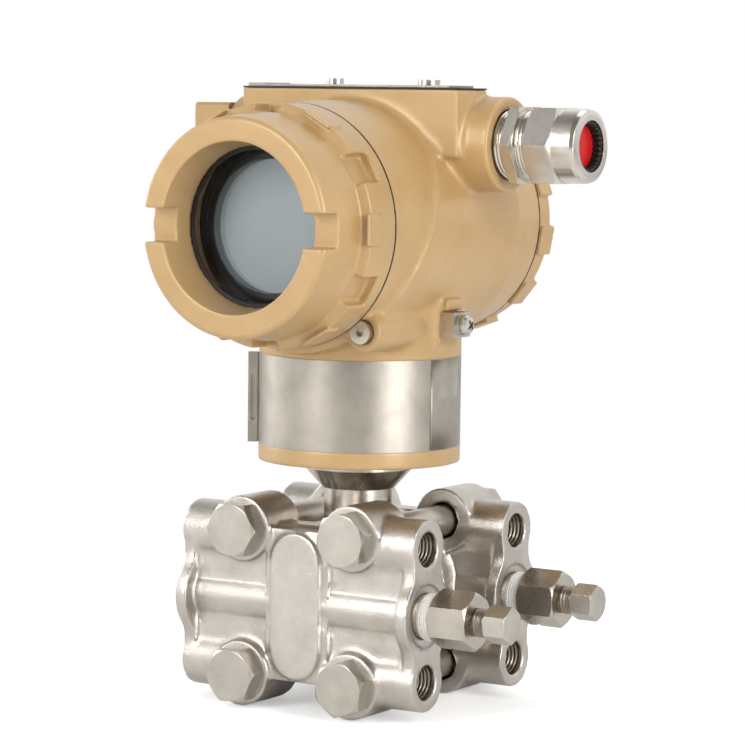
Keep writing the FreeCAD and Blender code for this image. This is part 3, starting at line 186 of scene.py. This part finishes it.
def cast_paint():
    n = Nodes("gold_paint")
    cloud = n.noise(55.0, 2.0)
    grain = n.noise(3200.0, 2.0, 0.6)
    peel = n.noise(1100.0, 3.0, 0.6)
    fleck = n.noise(6000.0, 1.0)
    colour = n.mix(n.ramp(cloud, 0.0, 1.0), srgb(177, 143, 93), srgb(186, 152, 102))
    colour = n.mix(n.ramp(fleck, 0.0, 0.45, 0.55, 0.8), colour, srgb(226, 200, 160))
    n.feed("Base Color", colour)
    n.feed("Roughness", n.ramp(grain, 0.34, 0.46))
    n.set(Metallic=0.12, Coat_Weight=0.4, Coat_Roughness=0.3)
    n.feed("Normal", n.bump(peel, 0.00010, 0.6, n.bump(grain, 0.00004, 0.6)))
    return n.material


def cast_steel():
    n = Nodes("cast_steel")
    cloud = n.noise(90.0, 3.0)
    grain = n.noise(2600.0, 4.0, 0.65)
    lumps = n.noise(320.0, 2.0)
    n.feed("Base Color", n.mix(n.ramp(cloud, 0.0, 1.0), srgb(190, 184, 176), srgb(208, 203, 196)))
    n.feed("Roughness", n.ramp(grain, 0.24, 0.40))
    n.set(Metallic=1.0)
    n.feed("Normal", n.bump(lumps, 0.00022, 0.5, n.bump(grain, 0.00009, 0.9)))
    return n.material


def bright_steel(name, low, high, tint=(208, 202, 193), scratch=None, grain_depth=0.00001,
                 corner=0.0003):
    """Machined or drawn stainless steel; scratch stretches the grain along one axis."""
    n = Nodes(name)
    grain = n.noise(1500.0, 3.0, 0.6, scratch)
    cloud = n.noise(120.0, 2.0)
    dark = tuple(int(v * 0.9) for v in tint)
    n.feed("Base Color", n.mix(n.ramp(cloud, 0.0, 1.0), srgb(*dark), srgb(*tint)))
    n.feed("Roughness", n.ramp(grain, low, high))
    n.set(Metallic=1.0)
    edge = n.soft_edges(corner) if corner else None
    n.feed("Normal", n.bump(grain, grain_depth, 0.6, edge))
    return n.material


def rubber(name, shade):
    n = Nodes(name)
    grain = n.noise(3000.0, 2.0)
    dark = tuple(int(v * 0.7) for v in shade)
    n.feed("Base Color", n.mix(n.ramp(grain, 0.0, 1.0), srgb(*dark), srgb(*shade)))
    n.feed("Roughness", n.ramp(grain, 0.45, 0.65))
    n.feed("Normal", n.bump(grain, 0.00002, 0.5))
    return n.material


def plastic(name, shade, low=0.35, high=0.5):
    n = Nodes(name)
    grain = n.noise(2600.0, 2.0)
    dark = tuple(int(v * 0.93) for v in shade)
    n.feed("Base Color", n.mix(n.ramp(grain, 0.0, 1.0), srgb(*dark), srgb(*shade)))
    n.feed("Roughness", n.ramp(grain, low, high))
    n.feed("Normal", n.bump(grain, 0.00001, 0.4, n.soft_edges(0.0003)))
    return n.material


def clear_glass():
    n = Nodes("window_glass")
    smear = n.noise(45.0, 2.0)
    n.feed("Roughness", n.ramp(smear, 0.0, 0.03))
    n.set(Base_Color=(0.88, 0.95, 0.96, 1.0), Transmission_Weight=1.0, IOR=1.5, Alpha=0.3)
    n.feed("Normal", n.bump(smear, 0.00001, 0.05))
    return n.material


def tape():
    n = Nodes("thread_tape")
    wrap = n.noise(1800.0, 3.0, 0.6, (0.35, 1.0, 1.0))
    n.feed("Base Color", n.mix(n.ramp(wrap, 0.0, 1.0), srgb(214, 212, 207), srgb(240, 239, 236)))
    n.feed("Roughness", n.ramp(wrap, 0.45, 0.65))
    n.feed("Normal", n.bump(wrap, 0.0001, 0.8))
    return n.material


GOLD = cast_paint()
CAST = cast_steel()
TURNED = bright_steel("turned_steel", 0.18, 0.32, (202, 194, 183), (1.0, 1.0, 14.0))
BOLT = bright_steel("bolt_steel", 0.26, 0.40, (204, 198, 188), None, 0.00002)
SMALL = bright_steel("small_steel", 0.26, 0.34, (216, 211, 203), None, 0.000003, None)
BRUSHED = bright_steel("brushed_band", 0.32, 0.46, (184, 177, 166), (1.0, 1.0, 26.0), 0.00002)
GLAND_STEEL = bright_steel("gland_steel", 0.18, 0.28, (222, 216, 207), (9.0, 1.0, 1.0), 0.000006)
# Steel tint darkened below the other steels as painted shade of the thread grooves.
SHADED_THREAD = bright_steel("thread_steel_painted_shade", 0.26, 0.36, (156, 146, 133), None, 0.000004, None)
BLACK = rubber("black_rubber", (26, 26, 27))
GREY = rubber("grey_seal", (44, 45, 46))
GLASS = clear_glass()
CASE = plastic("display_case", (20, 21, 23))
FACE = plastic("display_face", (164, 173, 178), 0.5, 0.6)
BOARD = plastic("circuit_board", (18, 74, 44))
TERMINAL = plastic("terminal_plastic", (22, 22, 24))
RED = plastic("red_plug", (196, 18, 20), 0.3, 0.42)
KEEPER = bright_steel("keeper_steel", 0.25, 0.4, (70, 71, 74))
TAPE = tape()

BY_SLOT = {
    "housing_paint": GOLD, "cast_steel": CAST, "turned_steel": TURNED, "bolt_steel": BOLT,
    "small_steel": SMALL, "band_steel": BRUSHED, "gland_steel": GLAND_STEEL,
    "black_rubber": BLACK, "grey_seal": GREY, "glass": GLASS, "display_case": CASE,
    "display_face": FACE, "board": BOARD, "terminal_plastic": TERMINAL, "red_plug": RED,
    "keeper_steel": KEEPER,
}
SLOT_OF = {item["node"]: item["material_slot"] for item in frame["record"]["subparts"]}
BODY_OF = {}
for body, members in frame["record"]["behaviour"]["bodies"].items():
    for member in members:
        BODY_OF[member] = body

for name, obj in frame["nodes"].items():
    finish = BY_SLOT[SLOT_OF[name]]
    if not obj.material_slots:
        obj.data.materials.append(finish)
    for place in obj.material_slots:
        place.material = finish


# ---------------------------------------------------------------------------
# Rounding of cast pieces: a copy of the CAD mesh is remeshed, its creases filled
# and its edges rounded; the CAD mesh itself is left alone
# ---------------------------------------------------------------------------
def evaluated(obj):
    graph = bpy.context.evaluated_depsgraph_get()
    return bpy.data.meshes.new_from_object(obj.evaluated_get(graph), depsgraph=graph)


def arrays(mesh):
    points = np.empty(len(mesh.vertices) * 3)
    mesh.vertices.foreach_get("co", points)
    pairs = np.empty(len(mesh.edges) * 2, dtype=np.int64)
    mesh.edges.foreach_get("vertices", pairs)
    return points.reshape(-1, 3), pairs.reshape(-1, 2)


def normals_of(mesh, points):
    mesh.vertices.foreach_set("co", points.ravel())
    mesh.update()
    out = np.empty(len(points) * 3)
    mesh.vertex_normals.foreach_get("vector", out)
    return out.reshape(-1, 3)


def soften(mesh, fill, crisp, fill_at, round_at):
    """Fills concave creases for `fill` rounds, then smooths all over for `crisp` rounds."""
    points, pairs = arrays(mesh)
    first, second = pairs[:, 0], pairs[:, 1]
    count = len(points)
    share = np.bincount(first, minlength=count) + np.bincount(second, minlength=count)
    share = np.maximum(share, 1)
    fill_by, round_by = fill_at(points), round_at(points)

    def pull(at):
        total = np.empty_like(at)
        for axis in range(3):
            column = at[:, axis]
            total[:, axis] = (np.bincount(first, column[second], count)
                              + np.bincount(second, column[first], count)) / share
        return total - at

    normals = normals_of(mesh, points)
    for step in range(fill):
        if step % 6 == 5:
            normals = normals_of(mesh, points)
        move = pull(points)
        out = (move * normals).sum(axis=1)
        points = points + (move * STEP_IN) * ((out > 0) * fill_by)[:, None]
    for step in range(crisp):
        points = points + STEP_IN * pull(points) * round_by[:, None]
        points = points - STEP_OUT * pull(points) * round_by[:, None] * (step % 2)
    normals_of(mesh, points)


def everywhere(points):
    return np.ones(len(points))


def cast_copy(node, name, voxel, fill, crisp, keep=1.0, fill_at=everywhere,
              round_at=everywhere, finish=GOLD):
    """Visual stand-in of a cast CAD node with rounded edges and blended corners."""
    source = linked(name, frame["nodes"][node].data.copy())
    remesh = source.modifiers.new("voxels", "REMESH")
    remesh.mode = "VOXEL"
    remesh.voxel_size = voxel
    mesh = evaluated(source)
    source.modifiers.clear()
    soften(mesh, fill, crisp, fill_at, round_at)
    source.data = mesh
    if keep < 1.0:
        thin = source.modifiers.new("thin", "DECIMATE")
        thin.ratio = keep
        source.data = evaluated(source)
        source.modifiers.clear()
    for polygon in source.data.polygons:
        polygon.use_smooth = True
    source.data.materials.clear()
    source.data.materials.append(finish)
    return adopt(source, node)


def adopt(obj, *nodes):
    """The piece replaces CAD nodes of one body: they are hidden and it rides on that body."""
    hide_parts(*nodes)
    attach(obj, BODY_OF[nodes[0]])
    return obj


def distance_to(points, centre, axis):
    """Distance of each point from a line through centre along one axis."""
    keep = [i for i in range(3) if i != axis]
    return np.hypot(points[:, keep[0]] - centre[keep[0]], points[:, keep[1]] - centre[keep[1]])


def step_up(values, start, end):
    """Smooth rise from 0 at start to 1 at end."""
    t = np.clip((values - start) / (end - start), 0.0, 1.0)
    return t * t * (3.0 - 2.0 * t)


def housing_fill(points):
    """Where the housing's creases fill: not in its bores, rooms, grooves and seats."""
    outside = step_up(distance_to(points, BARREL, 1), 0.0340, 0.0355)
    neck = distance_to(points, NECK, 2)
    low = points[:, 2] < 0.0785
    outside = np.where(low, step_up(points[:, 2], 0.0772, 0.0785), outside)
    outside *= step_up(distance_to(points, GLAND, 0), 0.0118, 0.0132)
    outside *= step_up(points[:, 1], -0.0390, -0.0365)
    outside *= 1.0 - step_up(points[:, 1], 0.0475, 0.0490)
    for screw in ("plate_pivot_screw", "plate_clamp_screw", "zero_button", "span_button"):
        at = middle(screw)
        top = (distance_to(points, at, 2) < 0.0045) & (points[:, 2] > 0.150)
        outside = np.where(top, 0.0, outside)
    for screw in ("front_cover_lock_screw", "rear_cover_lock_screw"):
        near = distance_to(points, middle(screw), 1) < 0.0048
        outside = np.where(near, 0.0, outside)
    near = (distance_to(points, middle("earth_screw"), 0) < 0.0035) & (points[:, 0] > 0.070)
    return np.where(near, 0.0, outside)


def housing_round(points):
    """Where the housing's edges round: not in its rooms, neck groove and gland entry."""
    inner = distance_to(points, BARREL, 1) < 0.0335
    amount = np.where(inner, 0.0, 1.0)
    groove = (points[:, 2] > 0.0479) & (points[:, 2] < 0.0776)
    groove &= distance_to(points, NECK, 2) < 0.0335
    amount = np.where(groove, 0.0, amount)
    amount = np.where(distance_to(points, GLAND, 0) < 0.0118, 0.0, amount)
    return amount


cast_copy("housing", "housing_cast", 0.0006, 26, 3, 0.4, housing_fill, housing_round)


def cover_fill(points):
    return step_up(distance_to(points, BARREL, 1), COVER_SKIRT, 0.0330) * 0.9


def cover_round(points):
    reach = distance_to(points, BARREL, 1)
    face = (points[:, 1] < -0.0580) | (reach > COVER_SKIRT)
    return np.where(face, 1.0, 0.0)


cast_copy("front_cover", "window_cover_cast", 0.0004, 3, 2, 0.45, cover_fill, cover_round)


def rear_round(points):
    return np.where(distance_to(points, BARREL, 1) > COVER_SKIRT, 1.0,
                    step_up(points[:, 1], 0.0600, 0.0620))


cast_copy("rear_cover", "blind_cover_cast", 0.00045, 5, 2, 0.45, cover_fill, rear_round)


def flange_mask(node):
    """Where a flange is rough cast: clear of its seat, port, holes and bolt faces."""
    low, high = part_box(node)
    mid = middle(node)
    seat = high[1] if mid[1] < 0 else low[1]

    def fill(points):
        amount = np.ones(len(points))
        amount *= step_up(np.abs(points[:, 1] - seat), 0.0010, 0.0030)
        for z in (HOLE_LEVELS[0], 0.0, HOLE_LEVELS[1]):
            reach = np.hypot(points[:, 1] - mid[1], points[:, 2] - z)
            limit = PORT_SEAT if z == 0.0 else HOLE_SEAT
            amount *= step_up(reach, limit, limit + 0.0006)
        for x in BOLT_COLUMNS:
            for z in BOLT_ROWS:
                reach = np.hypot(points[:, 0] - mid[0] - x, points[:, 2] - z)
                amount *= step_up(reach, BOLT_SEAT, 0.0068)
        return amount
    return fill


for side in ("high", "low"):
    node = "process_flange_" + side
    mask = flange_mask(node)
    cast_copy(node, "flange_cast_" + side, 0.0005, 16, 3, 0.5, mask, mask, CAST)


# ---------------------------------------------------------------------------
# Threads, thread tape, toothed seal and screw recesses
# ---------------------------------------------------------------------------
def new_piece(name, points, faces, finish, body):
    """A mesh piece that rides on a body, finished in the given material."""
    mesh = bpy.data.meshes.new(name)
    mesh.from_pydata(points, [], faces)
    mesh.update()
    for polygon in mesh.polygons:
        polygon.use_smooth = True
    mesh.materials.append(finish)
    obj = linked(name, mesh)
    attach(obj, body)
    return obj


def skin(faces, rows, around):
    """Quads between neighbouring rings of points."""
    for i in range(rows - 1):
        for j in range(around):
            a, b = i * around + j, i * around + (j + 1) % around
            faces.append((a, b, b + around, a + around))


def spiral(points, faces, start, end, centre, radius, rise, pitch, around=48, lift=None):
    """Adds a threaded skin along X: ridges of height rise (inward where negative)."""
    steps = max(2, int(round((end - start) / pitch * 6)))
    first = len(points)
    for i in range(steps + 1):
        along = i / steps
        x = start + (end - start) * along
        fade = min(1.0, 6.0 * along, 6.0 * (1.0 - along))
        for j in range(around):
            turn = j / around
            phase = ((x - start) / pitch - turn) % 1.0
            ridge = 1.0 - abs(2.0 * phase - 1.0)
            ridge = min(1.0, 1.35 * ridge)
            reach = radius + rise * ridge * fade
            if lift:
                reach += lift(along, turn)
            angle = math.tau * turn
            points.append((x, centre[0] + reach * math.cos(angle),
                           centre[1] + reach * math.sin(angle)))
    for i in range(steps):
        for j in range(around):
            a = first + i * around + j
            b = first + i * around + (j + 1) % around
            quad = (a, a + around, b + around, b)
            faces.append(quad if rise > 0 else quad[::-1])


def flange_threads():
    """Thread ridges in the flange holes at both ends."""
    points, faces = [], []
    for side in ("high", "low"):
        node = "process_flange_" + side
        low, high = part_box(node)
        y = middle("vent_tip_" + side)[1]
        for z in HOLE_LEVELS:
            spiral(points, faces, low[0] + 0.0007, low[0] + 0.0146, (y, z), 0.00550,
                   -THREAD_DEPTH, THREAD_PITCH)
            spiral(points, faces, high[0] - 0.0146, high[0] - 0.0007, (y, z), 0.00530,
                   -THREAD_DEPTH, THREAD_PITCH)
    # The hole threads take the darkened steel, which paints shade into their grooves.
    new_piece("flange_hole_threads", points, faces, SHADED_THREAD, "sensor")


def vent_dressing(side):
    """White tape on a vent body's pipe thread, and the thread ridges of its stem."""
    mid = middle("vent_tip_" + side)
    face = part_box("process_flange_" + side)[1][0]
    centre = (mid[1], mid[2])
    body = "vent_valve_body_" + side
    points, faces = [], []

    def torn(along, turn):
        wave = math.sin(7.0 * math.tau * turn + 9.0 * along) + math.sin(math.tau * 3.0 * turn)
        return 0.00006 * wave * (0.4 + along) - 0.0001 * (along > 0.97)

    spiral(points, faces, face + 0.0001, face + 0.0044, centre, 0.00694, 0.00045, 0.00086, 64,
           torn)
    new_piece("thread_tape_" + side, points, faces, TAPE, "sensor")
    points, faces = [], []
    stem = "vent_stem_" + side
    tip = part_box(stem)[1][0]
    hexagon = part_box(body)[1][0]
    spiral(points, faces, hexagon - 0.0003, tip - 0.0078, centre, 0.00392, 0.00052, 0.00112)
    # The stem threads take the darkened steel, which paints shade into their grooves.
    new_piece("vent_thread_" + side, points, faces, SHADED_THREAD, BODY_OF[stem])


def gland_dressing():
    """Threads of the gland body and the toothed edge of its rubber seal."""
    centre = (GLAND[1], GLAND[2])
    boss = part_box("housing")[1][0]
    points, faces = [], []
    spiral(points, faces, boss - 0.0009, boss + 0.0034, centre, 0.01028, 0.00040, 0.00115, 72)
    spiral(points, faces, boss + 0.0073, boss + 0.0109, centre, 0.01040, 0.00042, 0.00120, 72)
    new_piece("gland_threads", points, faces, GLAND_STEEL, BODY_OF["gland_body"])
    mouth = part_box("gland_nut")[1][0]
    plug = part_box("gland_plug")[1][0]
    around = 26 * FACETS_A_TOOTH
    points, faces = [], []
    rows = ((mouth - 0.0006, 0.0078, 0.0), (mouth - 0.0007, 0.0071, 0.5),
            (mouth - 0.0012, 0.0067, 1.0), (plug - 0.0004, 0.0066, 1.0))
    for x, radius, depth in rows:
        for j in range(around):
            angle = math.tau * j / around
            notch = 1.0 if (j % FACETS_A_TOOTH) in (0, 1) else 0.0
            reach = radius + 0.00055 * depth * notch
            points.append((x, centre[0] + reach * math.cos(angle),
                           centre[1] + reach * math.sin(angle)))
    skin(faces, len(rows), around)
    ring = new_piece("gland_toothed_seal", points, faces, BLACK, BODY_OF["gland_nut"])
    for polygon in ring.data.polygons:
        polygon.use_smooth = False


def band_seam():
    """Lapped end of the name band and its thin edge."""
    low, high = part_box("neck_band")
    radius = (high[0] - low[0]) / 2
    points, faces = [], []
    start, end, count = math.radians(-14.0), math.radians(16.0), 24
    for i in range(count + 1):
        angle = start + (end - start) * i / count
        for lift, z in ((0.00002, low[2] + 0.0003), (0.00022, low[2] + 0.0003),
                        (0.00022, high[2] - 0.0003), (0.00002, high[2] - 0.0003)):
            reach = radius + lift * (1.0 - i / count * 0.8)
            points.append((NECK[0] + reach * math.cos(angle),
                           NECK[1] + reach * math.sin(angle), z))
    for i in range(count):
        for j in range(3):
            a = 4 * i + j
            faces.append((a, a + 4, a + 5, a + 1))
    faces.append((0, 1, 2, 3))
    lap = new_piece("band_lap", points, faces, BRUSHED, BODY_OF["neck_band"])
    for polygon in lap.data.polygons:
        polygon.use_smooth = abs(polygon.normal.z) < 0.5 and polygon.area < 0.0001


def earth_head():
    """Pan head with a cross recess over the earth screw's plain head."""
    low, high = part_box("earth_screw")
    mid = middle("earth_screw")
    base, crown, radius = high[0] - 0.0026, high[0], 0.0032
    profile = [(base, 0.0), (base, radius - 0.0002), (base + 0.0003, radius),
               (base + 0.0011, radius), (base + 0.0019, radius - 0.0006),
               (base + 0.0024, radius - 0.0016), (crown, 0.0)]
    shape = bmesh.new()
    around = 40
    rows = []
    for x, reach in profile:
        if reach == 0.0:
            rows.append([shape.verts.new((x, mid[1], mid[2]))])
            continue
        rows.append([shape.verts.new((x, mid[1] + reach * math.cos(math.tau * j / around),
                                      mid[2] + reach * math.sin(math.tau * j / around)))
                     for j in range(around)])
    for first, second in zip(rows, rows[1:]):
        for j in range(around):
            k = (j + 1) % around
            ring = [first[j % len(first)], first[k % len(first)], second[k % len(second)],
                    second[j % len(second)]]
            ring = list(dict.fromkeys(ring))
            shape.faces.new(ring)
    bmesh.ops.recalc_face_normals(shape, faces=shape.faces)
    mesh = bpy.data.meshes.new("earth_pan_head")
    shape.to_mesh(mesh)
    shape.free()
    head = linked("earth_pan_head", mesh)
    for turn in (35.0, 125.0):
        tool_mesh = bpy.data.meshes.new("cross_tool")
        cutter = bmesh.new()
        bmesh.ops.create_cube(cutter, size=1.0)
        cutter.to_mesh(tool_mesh)
        cutter.free()
        tool = linked("cross_tool", tool_mesh)
        tool.matrix_world = (Matrix.Translation((crown, mid[1], mid[2]))
                             @ Matrix.Rotation(math.radians(turn), 4, "X")
                             @ Matrix.Diagonal((0.0026, 0.0036, 0.0009, 1.0)))
        bpy.context.view_layer.update()
        carve = head.modifiers.new("cross", "BOOLEAN")
        carve.operation = "DIFFERENCE"
        carve.object = tool
        carve.solver = "EXACT"
        head.data = evaluated(head)
        head.modifiers.clear()
        bpy.data.objects.remove(tool)
    head.data.materials.clear()
    head.data.materials.append(SMALL)
    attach(head, BODY_OF["earth_screw"])
    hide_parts("earth_screw")


def joint_line(name, y, radius):
    """Dark joint between a cover's rim and the barrel."""
    points, faces = [], []
    around = 180
    for reach, at in ((radius - 0.0006, y - 0.0002), (radius, y - 0.0002),
                      (radius, y + 0.0002), (radius - 0.0006, y + 0.0002)):
        for j in range(around):
            angle = math.tau * j / around
            points.append((BARREL[0] + reach * math.cos(angle), at,
                           BARREL[2] + reach * math.sin(angle)))
    skin(faces, 4, around)
    new_piece(name, points, faces, GREY, BODY_OF["housing"])


joint_line("front_joint_line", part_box("housing")[0][1] - 0.00015, 0.03772)
joint_line("rear_joint_line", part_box("housing")[1][1] + 0.00015, 0.03680)
flange_threads()
for side in ("high", "low"):
    vent_dressing(side)
gland_dressing()
band_seam()
earth_head()


# ---------------------------------------------------------------------------
# Room, light and camera
# ---------------------------------------------------------------------------
def area_light(name, at, look_at, width, height, power):
    light = bpy.data.lights.new(name, "AREA")
    light.shape = "RECTANGLE"
    light.size, light.size_y = width, height
    light.energy = power
    obj = linked(name, light)
    obj.location = at
    obj.rotation_euler = (Vector(look_at) - Vector(at)).to_track_quat("-Z", "Y").to_euler()


FRONT = Vector((0.535, -0.84, 0.09)).normalized()


def studio_world():
    """White all round for the camera; darker towards the room in front for reflections."""
    world = bpy.data.worlds.new("studio")
    bpy.context.scene.world = world
    world.use_nodes = True
    tree = world.node_tree
    tree.nodes.clear()
    output = tree.nodes.new("ShaderNodeOutputWorld")
    path = tree.nodes.new("ShaderNodeLightPath")
    coords = tree.nodes.new("ShaderNodeTexCoord")

    def background(colour, strength):
        shader = tree.nodes.new("ShaderNodeBackground")
        shader.inputs["Color"].default_value = colour
        shader.inputs["Strength"].default_value = strength
        return shader

    def choose(fac, first, second):
        mix = tree.nodes.new("ShaderNodeMixShader")
        tree.links.new(fac, mix.inputs["Fac"])
        tree.links.new(first.outputs[0], mix.inputs[1])
        tree.links.new(second.outputs[0], mix.inputs[2])
        return mix

    def facing(direction, start, end):
        dot = tree.nodes.new("ShaderNodeVectorMath")
        dot.operation = "DOT_PRODUCT"
        tree.links.new(coords.outputs["Generated"], dot.inputs[0])
        dot.inputs[1].default_value = direction
        ramp = tree.nodes.new("ShaderNodeMapRange")
        ramp.interpolation_type = "SMOOTHSTEP"
        ramp.inputs["From Min"].default_value = start
        ramp.inputs["From Max"].default_value = end
        tree.links.new(dot.outputs["Value"], ramp.inputs["Value"])
        return ramp.outputs["Result"]

    white = background((1.0, 1.0, 1.0, 1.0), 1.0)
    dark = background((0.94, 0.90, 0.86, 1.0), 0.22)
    fill = background((1.0, 0.99, 0.97, 1.0), 0.52)
    gloss = choose(facing(FRONT, -0.15, 0.95), white, dark)
    gloss = choose(facing((0.0, 0.0, 1.0), 0.55, 0.95), gloss, dark)
    lit = choose(path.outputs["Is Glossy Ray"], fill, gloss)
    seen = choose(path.outputs["Is Camera Ray"], lit, white)
    final = choose(path.outputs["Is Transmission Ray"], seen, white)
    tree.links.new(final.outputs[0], output.inputs["Surface"])


def floor():
    """Pale floor that turns pure white in the distance, for the camera alone."""
    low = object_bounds()[0]
    mesh = bpy.data.meshes.new("floor")
    shape = bmesh.new()
    bmesh.ops.create_grid(shape, x_segments=8, y_segments=8, size=6.0)
    shape.to_mesh(mesh)
    shape.free()
    obj = linked("floor", mesh)
    obj.location = (0.0, 0.0, low[2] - 0.0002)
    n = Nodes("floor")
    cloud = n.noise(0.8, 1.0)
    n.feed("Base Color", n.mix(cloud, (0.88, 0.88, 0.88, 1.0), (0.91, 0.91, 0.91, 1.0)))
    n.set(Roughness=0.85, Specular_IOR_Level=0.1)
    length = n.new("ShaderNodeVectorMath")
    length.operation = "LENGTH"
    n.join(n.coords, length.inputs[0])
    far = n.ramp(length.outputs["Value"], 0.0, 1.0, 0.22, 0.50)
    path = n.new("ShaderNodeLightPath")
    glow = n.new("ShaderNodeEmission", Color=(1.0, 1.0, 1.0, 1.0), Strength=0.4)
    none = n.new("ShaderNodeEmission", Color=(0.0, 0.0, 0.0, 1.0), Strength=0.0)
    white = n.new("ShaderNodeEmission", Color=(1.0, 1.0, 1.0, 1.0), Strength=1.0)

    def choose(fac, first, second):
        mix = n.new("ShaderNodeMixShader")
        n.join(fac, mix.inputs[0])
        n.join(first, mix.inputs[1])
        n.join(second, mix.inputs[2])
        return mix.outputs[0]

    add = n.new("ShaderNodeAddShader")
    n.join(n.shader.outputs[0], add.inputs[0])
    n.join(choose(path.outputs["Is Camera Ray"], none.outputs[0], glow.outputs[0]),
           add.inputs[1])
    distant = choose(path.outputs["Is Camera Ray"], n.shader.outputs[0], white.outputs[0])
    n.join(choose(far, add.outputs[0], distant), n.output.inputs["Surface"])
    mesh.materials.append(n.material)
    obj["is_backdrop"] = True


floor()
studio_world()
CENTRE = (0.045, 0.0, 0.07)
area_light("key", (-0.30, -1.25, 0.55), CENTRE, 0.42, 0.8, 9.5)
area_light("left", (-1.05, -0.20, 0.30), CENTRE, 0.4, 0.9, 3.4)
area_light("side", (1.15, -0.35, 0.35), CENTRE, 0.40, 0.9, 9.5)
area_light("top", (0.1, 0.45, 1.05), CENTRE, 0.6, 0.6, 2.0)

camera = linked("camera", bpy.data.cameras.new("camera"))
camera.data.sensor_width = 36.0
camera.data.lens = 151.82
camera.data.clip_start = 0.05
camera.location = (0.5819, -0.8398, 0.1591)
sight = Vector((-0.534623, 0.840482, -0.088138))
camera.rotation_euler = (sight.to_track_quat("-Z", "Y").to_matrix()
                         @ Matrix.Rotation(math.radians(0.718), 3, "Z")).to_euler()
bpy.context.scene.camera = camera
bpy.context.scene.view_settings.view_transform = "Standard"
